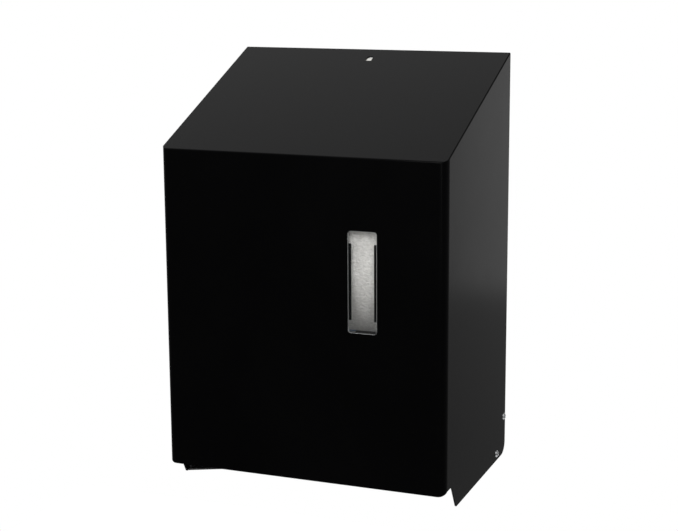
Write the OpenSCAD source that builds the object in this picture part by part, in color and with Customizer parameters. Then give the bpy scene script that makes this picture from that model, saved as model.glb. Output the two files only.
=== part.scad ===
// Wall dispenser for rolls of paper towel. A folded hood tips forward on two hinge
// pins, a wall plate carries two sprung arms for the roll, and a drum below draws the
// towel down and cuts it with a knife that is geared to a fixed wheel.
// Lengths are millimetres. "Back" is a distance from the wall towards the room, "up" is
// a height above the hood's lowest point, and X runs across. The origin is on the wall,
// at the centre of the four wall screws, and the front of the hood looks along -Y.

/* [Hood] */
// Width over the two sides
hood_w = 300; // [290:1:340]
// Height from the lowest point to the rear top edge
hood_h = 435; // [429:1:480]
// Height of the fold between the front and the sloping top
front_top = 348; // [340:1:370]
// Thickness of the hood's sheet
sheet = 1.5; // [1:0.1:2]
// Outside radius of the two upright bends
corner_r = 8; // [4:0.5:12]
// Outside radius of the fold between front and top
fold_r = 2.6; // [2.2:0.1:5]
// Radius of the edge between the slope and each side
slope_edge_r = 1.4; // [1:0.1:2.6]
// Gap between the hood's rear edge and the wall
wall_gap = 1; // [0.5:0.1:2]

/* [Hood skirt] */
// Height of the front's lower edge
front_bottom = 21; // [15:1:30]
// Distance from the front face to the notch in each side
notch_in = 21.5; // [18:0.5:26]
// Rise of the lower edge from the front to the notch
notch_rise = 4.2; // [0:0.1:6]
// Distance from the front face to the lowest tip of each side
tip_in = 36; // [32:0.5:50]
// Radius of that tip
tip_r = 2; // [1:0.5:6]
// Height of the side's lower edge at the wall
heel_up = 5; // [2:0.5:8]
// Radius of the lower corner at the wall
heel_r = 13; // [10:0.5:16]

/* [Window] */
// Distance of the window's middle from the hood's middle
window_x = 65.3; // [-80:0.1:80]
// Height of the window's middle
window_up = 227.5; // [200:0.5:250]
// Width of the window's face
window_w = 29.5; // [26:0.5:40]
// Height of the window's face
window_h = 100.5; // [80:0.5:120]
// Corner radius of the window's face
window_r = 3; // [1:0.5:5]
// Width of the dark ledge that the face covers on each side
ledge_w = 2.8; // [2:0.1:4]
// Height of the full-width part at each end
wide_end = 12.5; // [10:0.5:16]
// How far the face stands proud of the hood
window_proud = 0.8; // [0.5:0.1:1.2]

/* [Lock] */
// Distance of the keyhole from the hood's middle
key_x = 1.5; // [-4:0.5:4]
// Distance of the keyhole's middle from the wall
key_back = 20; // [17:0.5:23]
// Width of the keyhole
key_w = 7; // [5:0.1:8]
// Length of the keyhole down the slope
key_l = 10; // [8:0.5:11]
// Width of the latch
latch_w = 24; // [18:1:40]
// Radius of the latch's pin
latch_pin_r = 2.5; // [2:0.1:3]

/* [Hood hinge] */
// Distance of the hinge axis from the wall
pivot_back = 22; // [20:0.5:25]
// Height of the hinge axis
pivot_up = 18; // [17:0.5:20]
// Radius of the hinge pins
pivot_r = 3; // [2:0.1:4]
// Distance of the upper side screw from the wall
high_screw_back = 6.5; // [6:0.5:9]
// Height of the upper side screw
high_screw_up = 46; // [42:0.5:52]
// Distance of the lower side screw from the wall
low_screw_back = 31.5; // [30:0.5:36]
// Height of the lower side screw
low_screw_up = 11.5; // [10:0.5:13]
// Radius of the screws' shanks
screw_r = 2; // [1.5:0.1:2.5]
// Radius of the screws' heads
screw_head_r = 3.9; // [3.4:0.1:4.4]
// Height of the screws' heads
screw_head_h = 2.2; // [1.5:0.1:3]
// Thickness of the hinge plates
hinge_plate_t = 2.5; // [2:0.1:4]

/* [Wall plate] */
// Thickness of the wall plate and its brackets
plate_t = 1.5; // [1.2:0.1:2]
// Height of the wall plate's lower edge
plate_low = 10; // [8:0.5:12]
// Height of the wall plate's upper edge
plate_high = 418; // [400:1:420]
// Depth of the flange down each side of the wall plate
flange_d = 16; // [10:1:20]
// Depth of the flange round the hinge axis
hinge_flange_d = 32; // [30:1:40]
// Distance between the wall screws across
wall_holes_x = 264; // [240:1:268]
// Distance between the wall screws upwards
wall_holes_z = 360; // [340:1:366]
// Radius of the wall screw holes
wall_hole_r = 3.25; // [2.5:0.05:4]
// Height of the middle of the wall screws
wall_up = 210; // [205:1:215]

/* [Towel roll] */
// Radius of a full roll
roll_r = 92; // [84:1:100]
// Width of the roll
roll_w = 200; // [180:1:204]
// Inside radius of the core
core_r = 20; // [18:0.5:24]
// Wall of the core
core_t = 1.5; // [1:0.1:3]
// Room between the roll and the wall
roll_rear_gap = 12; // [10:0.5:16]
// Room between the roll and the hood's front
roll_front_gap = 8.5; // [6:0.5:20]
// Height of the roll's axis
roll_up = 248; // [246:1:256]

/* [Roll arms] */
// Thickness of an arm
arm_t = 6; // [5:0.5:8]
// Distance of the arm's pin from the wall
arm_pin_back = 12; // [11:0.5:14]
// Radius of the arm's pin
arm_pin_r = 3; // [2:0.1:3.5]
// Radius of the arm's eye
arm_eye_r = 7; // [6:0.5:8]
// Height of the arm's eye
arm_eye_h = 24; // [20:1:30]
// Room above the eye for the arm's spring
arm_spring_h = 8; // [7:0.5:10]
// Radius of the arm's rounded front end
arm_boss_r = 17; // [14:0.5:20]
// Radius of the stub that the hub turns on
stub_r = 5; // [4:0.5:6]
// Radius of the hub's flange
hub_flange_r = 27; // [25:0.5:30]
// Thickness of the hub's flange
hub_flange_t = 3; // [2:0.5:4]
// How far the hub reaches into the core
hub_plug_l = 12; // [8:0.5:12]
// How much the hub's plug narrows to its end
hub_taper = 4.2; // [4:0.1:6]

/* [Drum] */
// Radius of the drum's shells
drum_r = 39.3; // [38.5:0.1:40.5]
// Length of the drum's shells
drum_l = 206; // [204:1:210]
// Wall of the drum's shells
drum_wall = 2.3; // [1.8:0.1:3]
// Distance of the drum's axis from the hood's front face
drum_front = 106; // [102:0.5:108]
// Height of the drum's axis
drum_up = 92; // [90:0.5:92]
// Half of the angle that the knife's slot takes
slot_half = 21; // [20.5:0.5:26]
// Thickness of the drum's end caps
cap_t = 4; // [3:0.5:4.5]
// Radius of the drum's stub axles
axle_r = 5; // [4:0.5:6]
// Thickness of the rubber grip bands
band_t = 0.5; // [0.3:0.1:0.8]
// Width of the rubber grip bands
band_w = 24; // [16:1:34]
// Number of grip bands and pressure sleeves
band_count = 4; // [3:1:5]
// Radius of the feed wheel
wheel_r = 30; // [24:1:34]
// Width of the feed wheel
wheel_w = 10; // [8:1:12]
// Distance of the crank pin from the drum's axis
crank_arm = 14; // [10:0.5:15]

/* [Knife] */
// Reach of the blade from the knife's own axis
knife_reach = 12; // [10:0.5:12.5]
// Radius of the knife's shaft
knife_shaft_r = 3; // [2:0.1:3.2]
// Thickness of the blade
blade_t = 1; // [0.8:0.1:1.5]
// Pitch of the blade's teeth
blade_pitch = 5; // [4:0.5:10]
// Depth of the blade's teeth
blade_tooth = 3; // [2:0.1:4]
// Teeth on each of the two gears
gear_teeth = 20; // [16:2:24]
// Size of a gear tooth, as pitch diameter over teeth
gear_module = 1.7; // [1.65:0.01:1.72]
// Width of the gears
gear_w = 3.4; // [2.5:0.1:3.6]

/* [Pressure roller] */
// Radius of the rubber sleeves
press_r = 10.5; // [9:0.1:11]
// Angle of the roller above the rear of the drum
press_angle = 55; // [50:1:60]
// Radius of the roller's shaft
press_shaft_r = 3; // [2.5:0.1:3.5]
// Length of each sleeve
sleeve_l = 38; // [30:1:40]
// Distance of the yoke's axis behind the drum's axis
yoke_behind = 62; // [60:0.5:66]
// Height of the yoke's axis above the drum's axis
yoke_above = 48; // [46:0.5:52]
// Radius of the yoke's cross tube
yoke_tube_r = 6; // [5:0.5:7]

/* [Cheeks and guides] */
// Thickness of the cheeks
cheek_t = 4; // [3:0.5:5]
// Height of the stiffening rim round a cheek
rim_h = 5; // [3:0.5:8]
// Width of that rim
rim_w = 2; // [1.5:0.1:3]
// Gap between the drum and the guide behind it
guide_gap = 2.7; // [2.4:0.1:4]
// Gap between the drum and the guide in front of it
front_gap = 9.2; // [8.6:0.1:11]
// Thickness of the guides
guide_t = 1.6; // [1.2:0.1:2.5]
// Length of the chute that leads out from under the drum
chute_l = 76; // [60:1:78]
// Radius of the guides' fixing posts
post_r = 3; // [2:0.1:3.5]
// How far a cheek reaches in front of the drum's axis
cheek_ahead = 58; // [57:0.5:59]
// How far a cheek reaches below the drum's axis at the rear
cheek_below = 54; // [53:0.5:60]
// How far a cheek's foot reaches below the drum's axis
cheek_foot = 78; // [76:0.5:82]
// Length of a cheek's foot
foot_l = 20; // [16:0.5:24]
// How far a cheek reaches above the yoke's axis
cheek_above = 14; // [12:0.5:16]

/* [Springs] */
// Wire radius of the drum's return spring
return_wire = 0.6; // [0.4:0.05:0.7]
// Coil radius of the drum's return spring
return_coil = 5; // [4:0.1:6]
// Curls of the drum's return spring
return_turns = 16; // [10:1:18]
// Wire radius of the arm, yoke and latch springs
small_wire = 0.5; // [0.4:0.05:0.6]
// Curls of each arm spring
arm_turns = 3; // [2:1:3]
// Curls of each yoke spring
yoke_turns = 5; // [3:1:6]
// Curls of the latch spring
latch_turns = 5; // [3:1:5]

/* [Clearances] */
// Radial clearance of a pin or shaft that turns in a bore
running = 0.05; // [0.02:0.01:0.08]
// Gap between pieces that pass each other
pass_gap = 0.5; // [0.3:0.1:0.6]
// Gap between the roller and the drum, or the hub and the core
light_gap = 0.3; // [0.3:0.05:0.5]

/* [Hidden] */
$fn = 64;
arc_steps = 8;
cut = 1;

// Hood: its depth follows the roll, then the slope of the top and the inside faces
roll_back = roll_rear_gap + roll_r;
hood_d = roll_back + roll_r + roll_front_gap + sheet;
slope = (hood_h - front_top) / hood_d;
slope_k = sqrt(1 + slope * slope);
slope_angle = atan(slope);
hood_in = hood_w / 2 - sheet;
function top_up(back) = hood_h - slope * back;
function under_up(back) = top_up(back) - sheet * slope_k;

// Hinge: plates inside the hood's sides, and the wall plate's flanges inside those
hinge_plate_x = hood_in - hinge_plate_t;
flange_out = hinge_plate_x - pass_gap;
flange_in = flange_out - plate_t;
pivot = [-pivot_back, pivot_up];
high_screw = [-high_screw_back, high_screw_up];
low_screw = [-low_screw_back, low_screw_up];
hinge_tab_r = 5;
hinge_eye_r = pivot_r + 5;

// Latch: a lever under the keyhole, hooked in front of the hood's strike
latch_behind = 11;
latch_below = 15;
latch_back = key_back - latch_behind;
latch_up = under_up(key_back) - latch_below;
latch_axis = [-latch_back, latch_up];
strike_ahead = 15;
strike_back = key_back + strike_ahead;
strike_drop = 10;
strike_t = 2;
latch_floor_drop = 19;
latch_floor_d = 30;
latch_foot_l = 12;
latch_ear_rise = 5;
latch_screw_drop = 6;
latch_belly_drop = 8;
latch_floor = latch_up - latch_floor_drop;
latch_belly = latch_up - latch_belly_drop;
latch_pad_gap = 0.7;
latch_pad_half = 7;
latch_nose_l = 8;
latch_spring_r = 3.6;

// Roll, hubs and arms, from the roll's end outwards
roll_axis = [-roll_back, roll_up];
hub_in = roll_w / 2 + light_gap;
hub_out = hub_in + hub_flange_t;
arm_spacer = 6;
arm_in = hub_out + arm_spacer;
arm_mid = arm_in + arm_t / 2;
hub_plug_r = core_r - light_gap;
arm_low = roll_up - arm_eye_h / 2;
arm_high = roll_up + arm_eye_h / 2;
lug_t = 4;
lug_r = arm_eye_r + 1;

// Drum, from its middle outwards: shells, caps, gears, cheeks, wheel and crank
drum_back = hood_d - drum_front;
drum_axis = [-drum_back, drum_up];
shell_in = drum_r - drum_wall;
grip_r = drum_r + band_t;
drum_end = drum_l / 2;
cap_out = drum_end + cap_t;
gear_side_gap = 1.1;
gear_cheek_gap = 0.5;
cheek_in = cap_out + gear_side_gap + gear_w + gear_cheek_gap;
cheek_out = cheek_in + cheek_t;
gear_in = cap_out + gear_side_gap;
bush_wall = 3;
bush_r = axle_r + bush_wall;
bush_flange_r = axle_r + 2 * bush_wall;
bush_flange_t = 1.5;
side_gear_x = cheek_out + bush_flange_t + 1;
wheel_out = side_gear_x + wheel_w;
crank_t = 5;
crank_out = side_gear_x + crank_t;
crank_r = crank_arm + 6;
crank_pin_r = 2.5;
crank_pin_l = 8.5;
post_head_r = 4;
post_head_t = 1.5;
spring_x = crank_out + (crank_pin_l - post_head_t) / 2;
post_behind = 72;
post_back = drum_back - post_behind;

// Knife: its axis rides in the drum's caps, one gear's pitch diameter from the drum's axis
knife_out = gear_teeth * gear_module;
knife_axis = drum_axis + [knife_out, 0];
carrier_r = knife_shaft_r + 2;
blade_count = floor((drum_l - 16) / blade_pitch);
blade_l = blade_count * blade_pitch;
carrier_l = blade_l + 2;
blade_root = carrier_r + 0.2;

// Pressure roller above the rear of the drum, on a yoke
press_axis = drum_axis + (grip_r + light_gap + press_r) * [cos(press_angle), sin(press_angle)];
yoke_back = drum_back - yoke_behind;
yoke_up = drum_up + yoke_above;
yoke_axis = [-yoke_back, yoke_up];
yoke_out = drum_end + 1;
ear_t = 4.5;
yoke_tab_w = 26;
yoke_tab_h = 20;
ear_in = yoke_out - ear_t;
yoke_pin_r = 3;
yoke_coil_r = yoke_tube_r + small_wire + 0.5;

// Guides: angles are measured about the drum's axis, from the rear over the top
guide_out = drum_end + 2;
rear_r = grip_r + guide_gap;
rear_angles = [-65, 30];
front_r = grip_r + front_gap;
front_angles = [130, 225];
guide_flange_t = 2;
post_ring = max(front_r, knife_out * 1.5 + 2 * gear_module) + post_r + 2.5;
post_edge = post_ring + post_r + 1;
chute_post = 62;

// Cheeks: outline as back and up, from the rear bottom round the front
foot_back = drum_back + cheek_ahead;
guard_up = 0.3;
guard_t = 2;
guard_behind = 52;
guard_tip_gap = 1.5;
guard_skew = 18;
guard_out = hood_in - pass_gap;
shoulder_ahead = 24;
shoulder_up = 50;
cheek_flange_w = 18;
cheek_flange_low = 46;
cheek_flange_high = 4;
lighten_r = 11;
lighten_behind = post_behind - 14;
cheek_flange_t = 3;
cheek_screw_x = cheek_out + 10;
cheek_screw_ups = [drum_up - 28, drum_up + 44];
arm_screw_dx = 6;
latch_screw_x = 8;

// Shared shapes

function unit(v) = v / norm(v);
function side(back, up) = [-back, up];
function turn(a, b, c) = cross(b - a, c - b);
function half_angle(a, b, c) = acos(unit(a - b) * unit(c - b)) / 2;

// Points of the arc of radius r that rounds the corner b between a and c
function corner_arc(a, b, c, r) =
    r <= 0 ? [b] :
    let (half = half_angle(a, b, c),
         centre = b + unit(unit(a - b) + unit(c - b)) * r / sin(half),
         start = b + unit(a - b) * r / tan(half) - centre,
         stop = b + unit(c - b) * r / tan(half) - centre,
         from = atan2(start[1], start[0]),
         sweep = (atan2(stop[1], stop[0]) - from + 540) % 360 - 180)
    [for (i = [0 : arc_steps]) centre + r * [cos(from + sweep * i / arc_steps), sin(from + sweep * i / arc_steps)]];

// An outline with each corner rounded by its own radius
function rounded(points, radii) =
    let (n = len(points))
    [for (i = [0 : n - 1]) each corner_arc(points[(i + n - 1) % n], points[i], points[(i + 1) % n], radii[i])];

// An outline with every corner rounded by the same radius
function all_rounded(points, r) = rounded(points, [for (p = points) r]);

// A counter-clockwise outline moved inwards by d
function inset(points, d) =
    let (n = len(points))
    [for (i = [0 : n - 1])
        let (a = points[(i + n - 1) % n], b = points[i], c = points[(i + 1) % n],
             out = turn(a, b, c) > 0 ? 1 : -1)
        b + out * unit(unit(a - b) + unit(c - b)) * d / sin(half_angle(a, b, c))];

// The outline of a link between two round ends
function link(p, p_r, q, q_r) =
    let (span = q - p, along = atan2(span[1], span[0]), tilt = acos((p_r - q_r) / norm(span)), n = 2 * arc_steps)
    concat([for (i = [0 : n]) p + p_r * [cos(along + tilt + (360 - 2 * tilt) * i / n),
                                         sin(along + tilt + (360 - 2 * tilt) * i / n)]],
           [for (i = [0 : n]) q + q_r * [cos(along - tilt + 2 * tilt * i / n),
                                         sin(along - tilt + 2 * tilt * i / n)]]);

// Puts the model on the wall: heights become distances from the wall screws' centre
module on_wall() translate([0, 0, -wall_up]) children();

module both_sides() {
    children();
    mirror([1, 0, 0]) children();
}

// A side-view outline, given as Y and Z, drawn out across X
module across(x0, x1) translate([x0, 0, 0]) rotate([90, 0, 90]) linear_extrude(x1 - x0) children();

// Turns a shape drawn about Z so that it lies about the X axis through a side-view point
module about(axis) translate([0, axis[0], axis[1]]) rotate([90, 0, 90]) children();

// A round bar along X
module bar(axis, r, x0, x1) about(axis) translate([0, 0, x0]) cylinder(h = x1 - x0, r = r);

// A curved band about Z between two radii, two angles and two heights
module band(r0, r1, a0, a1, z0, z1)
    rotate([0, 0, a0]) rotate_extrude(angle = a1 - a0) translate([r0, z0]) square([r1 - r0, z1 - z0]);

// Spring wire

function tangent(path, i) = unit(path[min(i + 1, len(path) - 1)] - path[max(i - 1, 0)]);

// A side direction for each point of a path, carried along so that the wire doesn't twist
function carried(path, n, i = 0) =
    let (t = tangent(path, i), m = unit(n - (n * t) * t))
    i == len(path) - 1 ? [m] : concat([m], carried(path, m, i + 1));

// Least distance between turns of a path, less the wire's thickness
function least_gap(path, wire) =
    min([for (i = [0 : len(path) - 1]) for (j = [i + 5 : 1 : len(path) - 1]) norm(path[i] - path[j])]) - 2 * wire;

// Round wire along a path
module wire(path, r, first_side) {
    sides = 6;
    last = len(path) - 1;
    frame = carried(path, first_side);
    points = [for (i = [0 : last]) for (k = [0 : sides - 1])
        path[i] + r * (cos(360 * k / sides) * frame[i] + sin(360 * k / sides) * cross(tangent(path, i), frame[i]))];
    skin = [for (i = [0 : last - 1]) for (k = [0 : sides - 1])
        let (a = i * sides + k, b = i * sides + (k + 1) % sides)
        each [[a, a + sides, b], [b, a + sides, b + sides]]];
    ends = [for (k = [1 : sides - 2]) each [[0, k, k + 1], [last * sides, last * sides + k + 1, last * sides + k]]];
    polyhedron(points, concat(skin, ends));
}

// A helix about Z with a straight leg along the wire at each end
function torsion(r, pitch, turns, leg) =
    let (n = turns * 8, coil = [for (i = [0 : n]) [r * cos(45 * i), r * sin(45 * i), pitch * i / 8]])
    concat([coil[0] - [0, leg, 0], coil[0] - [0, leg / 2, 0]], coil, [coil[n] + [0, leg / 2, 0], coil[n] + [0, leg, 0]]);

// A spring between two pins, with a hook round each, along X from the first pin
function hooked(span, coil_r, turns, hook_r) =
    let (hook = [for (a = [40 : 26 : 300]) hook_r * [cos(a), sin(a), 0]],
         start = hook_r + coil_r - 1, n = turns * 8)
    concat(hook,
           [for (i = [0 : n]) [start + (span - 2 * start) * i / n, -coil_r * cos(45 * i), coil_r * sin(45 * i)]],
           [for (i = [len(hook) - 1 : -1 : 0]) [span - hook[i][0], hook[i][1], 0]]);

// Gear outline with involute flanks, one tooth on the X axis
gear_pressure = 20;
gear_backlash = 0.16;
function gear_r(teeth) = teeth * gear_module / 2;
function involute(base, r) = let (a = acos(min(1, base / r))) tan(a) * 180 / PI - a;
function tooth_half(teeth, r) =
    let (pitch_r = gear_r(teeth), base = pitch_r * cos(gear_pressure))
    90 / teeth - gear_backlash / pitch_r * 90 / PI + involute(base, pitch_r) - involute(base, max(r, base));
function gear_outline(teeth) =
    let (pitch_r = gear_r(teeth), tip = pitch_r + gear_module, root = pitch_r - 1.25 * gear_module,
         base = pitch_r * cos(gear_pressure), radii = [root, base, (base + tip) / 2, tip])
    [for (i = [0 : teeth - 1]) each concat(
        [for (r = radii) let (a = 360 * i / teeth - tooth_half(teeth, r)) r * [cos(a), sin(a)]],
        [for (k = [3 : -1 : 0]) let (r = radii[k], a = 360 * i / teeth + tooth_half(teeth, r)) r * [cos(a), sin(a)]])];

// Hood

// Plan of the hood, moved inwards, and run out past the rear edge when it is the inside
module hood_plan(in, rear) {
    w = hood_w / 2 - in;
    front = -hood_d + in;
    r = corner_r - in;
    polygon(rounded([[w, rear], [-w, rear], [-w, front], [w, front]], [0, 0, r, r]));
}

// Side view of the hood's outside, with the notch, tip and heel of the skirt
function hood_side() = rounded(
    [side(wall_gap, top_up(wall_gap)), side(hood_d, front_top), side(hood_d, front_bottom),
     side(hood_d - corner_r, front_bottom + notch_rise), side(hood_d - notch_in, front_bottom + notch_rise),
     side(hood_d - tip_in, 0), side(wall_gap, heel_up)],
    [0, fold_r, 0, 0, 2, tip_r, heel_r]);

// Side view of the hood's inside, open below and behind
function hood_inside() = rounded(
    [side(-cut, under_up(-cut)), side(hood_d - sheet, under_up(hood_d - sheet)),
     side(hood_d - sheet, -cut), side(-cut, -cut)],
    [0, fold_r - sheet, 0, 0]);

// The opening for the window: wide at both ends, narrower between
module window_shape(gap) {
    w = window_w / 2 - gap;
    h = window_h / 2 - gap;
    waist = w - ledge_w;
    step = h - wide_end;
    r = max(window_r - gap, 0.5);
    polygon(rounded(
        [[w, h], [-w, h], [-w, step], [-waist, step], [-waist, -step], [-w, -step],
         [-w, -h], [w, -h], [w, -step], [waist, -step], [waist, step], [w, step]],
        [r, r, 0, 0, 0, 0, r, r, 0, 0, 0, 0]));
}

// Stands a drawing of the window upright at the front face, drawn out backwards
module at_window(back, t)
    translate([window_x, -back, window_up]) rotate([90, 0, 0]) translate([0, 0, -t]) linear_extrude(t) children();

// The keyhole, flat at the front and round at the rear, square to the slope
module keyhole() {
    r = key_w / 2;
    translate([key_x, -key_back, top_up(key_back)]) rotate([slope_angle, 0, 0])
        translate([0, 0, -sheet - cut]) linear_extrude(sheet + 2 * cut) {
            translate([-r, -key_l / 2]) square([key_w, key_l - r]);
            translate([0, key_l / 2 - r]) circle(r = r);
        }
}

// What the rounding takes off the right edge of the slope
module slope_edge() {
    r = slope_edge_r;
    over = 1;
    lap = 0.03;
    ahead = 5;
    run = hood_d / cos(slope_angle) + ahead;
    translate([hood_w / 2, -hood_d, front_top]) rotate([slope_angle, 0, 0])
        translate([0, run, 0]) rotate([90, 0, 0]) linear_extrude(run + ahead) difference() {
            translate([-r, -r]) square(r + over);
            translate([-r + lap, -r + lap]) circle(r = r);
        }
}

module hood() {
    color("#1a1a1c") difference() {
        intersection() {
            linear_extrude(hood_h + cut) hood_plan(0, -wall_gap);
            across(-hood_w / 2 - cut, hood_w / 2 + cut) polygon(hood_side());
        }
        intersection() {
            translate([0, 0, -2 * cut]) linear_extrude(hood_h + cut) hood_plan(sheet, 2 * cut);
            across(-hood_w / 2, hood_w / 2) polygon(hood_inside());
        }
        at_window(hood_d + cut, sheet + 2 * cut) window_shape(0);
        keyhole();
        both_sides() slope_edge();
        for (p = [high_screw, low_screw]) bar(p, screw_r + 2 * running, -hood_w / 2 - cut, hood_w / 2 + cut);
    }
}

// A clear face over the opening, a plug that fills it, and a snap lip at each end behind the sheet
module window() {
    lip_w = window_w / 2;
    lip_t = 1.2;
    lip_over = 1.5;
    w = window_w / 2;
    h = window_h / 2;
    color("#dfe6e8", 0.4) {
        at_window(hood_d + window_proud, window_proud)
            polygon(all_rounded([[w, h], [-w, h], [-w, -h], [w, -h]], window_r));
        at_window(hood_d, sheet) window_shape(running);
        at_window(hood_d - sheet, lip_t) for (flip = [0, 180]) rotate([0, 0, flip])
            translate([-lip_w / 2, h - wide_end / 2]) square([lip_w, wide_end / 2 + lip_over]);
    }
}

// Plate inside the right side of the hood, round the hinge axis and both side screws
module hinge_plate() {
    color("#8d9093") difference() {
        across(hinge_plate_x, hood_in) {
            polygon(link(high_screw, hinge_tab_r, pivot, hinge_eye_r));
            polygon(link(low_screw, hinge_tab_r, pivot, hinge_eye_r));
        }
        bar(pivot, pivot_r + running, hinge_plate_x - cut, hood_in + cut);
        for (p = [high_screw, low_screw]) bar(p, screw_r, hinge_plate_x - cut, hood_in + cut);
    }
}

module left_hinge_plate() mirror([1, 0, 0]) hinge_plate();

module right_hinge_plate() hinge_plate();

// Domed head with a six-sided socket, on a shank that points along -Z
module domed_screw(head_r, head_h, shank_r, shank_l) {
    dome_r = (head_r * head_r + head_h * head_h) / (2 * head_h);
    socket_r = head_r * 0.36;
    difference() {
        intersection() {
            translate([0, 0, head_h - dome_r]) sphere(r = dome_r);
            cylinder(h = head_h, r = head_r);
        }
        translate([0, 0, head_h / 2]) cylinder(h = head_h, r = socket_r, $fn = 6);
    }
    translate([0, 0, -shank_l]) cylinder(h = shank_l, r = shank_r);
}

module hinge_screws() {
    color("#c9ccce") both_sides() for (p = [high_screw, low_screw])
        translate([hood_w / 2, p[0], p[1]]) rotate([0, 90, 0])
            domed_screw(screw_head_r, screw_head_h, screw_r, sheet + hinge_plate_t);
}

// Angle under the sloping top, whose lip the latch hooks in front of
module strike_plate() {
    base = 18;
    t = strike_t * slope_k;
    b0 = strike_back;
    b1 = strike_back + base;
    color("#8d9093") across(-latch_w / 2 - 2, latch_w / 2 + 2) polygon(
        [side(b0, under_up(b0)), side(b1, under_up(b1)), side(b1, under_up(b1) - t),
         side(b0 + strike_t, under_up(b0 + strike_t) - t), side(b0 + strike_t, under_up(b0) - strike_drop),
         side(b0, under_up(b0) - strike_drop)]);
}

// Wall plate

// Side view of the right flange: deep round the hinge axis, shallow above it
function flange_side() =
    let (step_up = pivot_up + hinge_flange_d)
    rounded([side(0, plate_low), side(0, plate_high), side(flange_d, plate_high - flange_d),
             side(flange_d, step_up + flange_d), side(hinge_flange_d, step_up - flange_d / 2), side(hinge_flange_d, plate_low)],
            [0, 0, 4, 8, 6, 4]);

module wall_plate() {
    lip_d = 9;
    color("#9a9da0") difference() {
        union() {
            translate([-flange_out, -plate_t, plate_low]) cube([2 * flange_out, plate_t, plate_high - plate_low]);
            both_sides() across(flange_in, flange_out) polygon(flange_side());
            translate([-flange_in + flange_d, -lip_d, plate_high - plate_t])
                cube([2 * (flange_in - flange_d), lip_d, plate_t]);
        }
        both_sides() for (z = [wall_up - wall_holes_z / 2, wall_up + wall_holes_z / 2])
            translate([wall_holes_x / 2, cut, z]) rotate([90, 0, 0]) cylinder(h = plate_t + 2 * cut, r = wall_hole_r);
        bar(pivot, pivot_r, -flange_out - cut, flange_out + cut);
        for (p = chassis_screw_places()) translate([p[0], cut, p[2]])
            rotate([90, 0, 0]) cylinder(h = plate_t + 2 * cut, r = screw_r);
    }
}

// Pins riveted into the flanges, with a head inside
module hinge_pins() {
    head_t = 2;
    color("#c9ccce") both_sides() {
        bar(pivot, pivot_r, flange_in, hood_in - running);
        bar(pivot, pivot_r + 2, flange_in - head_t, flange_in);
    }
}

// Where screws hold the cheeks, arm brackets and latch bracket to the wall plate: X, seat and height
function chassis_screw_places() = concat(
    [for (s = [-1, 1]) for (z = cheek_screw_ups) [s * cheek_screw_x, plate_t + cheek_flange_t, z]],
    [for (s = [-1, 1]) for (d = [-arm_screw_dx, arm_screw_dx]) [s * (arm_mid + d), 2 * plate_t, roll_up + 4]],
    [for (s = [-1, 1]) [s * latch_screw_x, 2 * plate_t, latch_floor - latch_screw_drop]]);

module chassis_screws() {
    shank_gap = 0.2;
    color("#b9bcbf") for (p = chassis_screw_places()) translate([p[0], -p[1], p[2]]) rotate([90, 0, 0])
        domed_screw(screw_head_r - 0.4, screw_head_h, screw_r, p[1] - shank_gap);
}

// Latch

latch_ear_in = latch_w / 2 + pass_gap;
latch_ear_out = latch_ear_in + plate_t;

// Bent bracket with a foot on the wall plate, a floor for the spring and two ears for the pin
module latch_bracket() {
    foot_low = latch_floor - latch_foot_l;
    floor_d = latch_floor_d;
    ear_top = latch_up + latch_ear_rise;
    color("#9a9da0") difference() {
        union() {
            translate([-latch_ear_out, -2 * plate_t, foot_low])
                cube([2 * latch_ear_out, plate_t, ear_top - foot_low]);
            translate([-latch_ear_out, -floor_d, latch_floor])
                cube([2 * latch_ear_out, floor_d - plate_t, plate_t]);
            both_sides() across(latch_ear_in, latch_ear_out) polygon(rounded(
                [side(plate_t, latch_floor), side(plate_t, ear_top), side(latch_back + latch_ear_rise, ear_top),
                 side(floor_d, latch_floor + 8), side(floor_d, latch_floor)],
                [0, 0, 4, 3, 0]));
        }
        bar(latch_axis, latch_pin_r, -latch_ear_out - cut, latch_ear_out + cut);
        for (s = [-1, 1]) translate([s * latch_screw_x, 0, latch_floor - latch_screw_drop]) rotate([90, 0, 0])
            cylinder(h = 3 * plate_t, r = screw_r);
    }
}

// Side view of the latch: a pad under the keyhole, an arm, and a nose in front of the strike
function latch_side() =
    let (pad_rear = key_back - latch_pad_half, pad_front = key_back + latch_pad_half,
         nose = strike_back + strike_t + 1, arm_top = under_up(strike_back) - strike_drop - 1.5,
         nose_top = under_up(nose) - strike_t * slope_k - 2)
    rounded(
        [side(latch_back - 4, latch_up - 5), side(latch_back + 5, latch_belly), side(key_back + latch_nose_l, latch_belly),
         side(nose + latch_nose_l, latch_up - 6), side(nose + latch_nose_l, latch_up - 4.5), side(nose + 1, nose_top),
         side(nose, nose_top), side(nose, arm_top), side(pad_front + 1, arm_top),
         side(pad_front, under_up(pad_front) - latch_pad_gap), side(pad_rear, under_up(pad_rear) - latch_pad_gap),
         side(latch_back, latch_up + 6), side(latch_back - 5, latch_up + 4)],
        [2, 3, 4, 0, 0.5, 0, 0, 1, 2, 1.5, 1.5, 3, 2]);

module latch_lever() {
    color("#ecebe6") difference() {
        across(-latch_w / 2, latch_w / 2) polygon(latch_side());
        bar(latch_axis, latch_pin_r + running, -latch_w / 2 - cut, latch_w / 2 + cut);
    }
}

module latch_pin() color("#c9ccce") bar(latch_axis, latch_pin_r, -latch_ear_out - 1, latch_ear_out + 1);

function latch_spring_path() =
    let (low = latch_floor + plate_t + small_wire + running, high = latch_belly - small_wire - running, n = latch_turns * 8)
    [for (i = [0 : n]) [latch_spring_r * cos(45 * i), -key_back + latch_spring_r * sin(45 * i), low + (high - low) * i / n]];

module latch_spring() color("#c9ccce") wire(latch_spring_path(), small_wire, [1, 0, 0]);

// Roll arms

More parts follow.
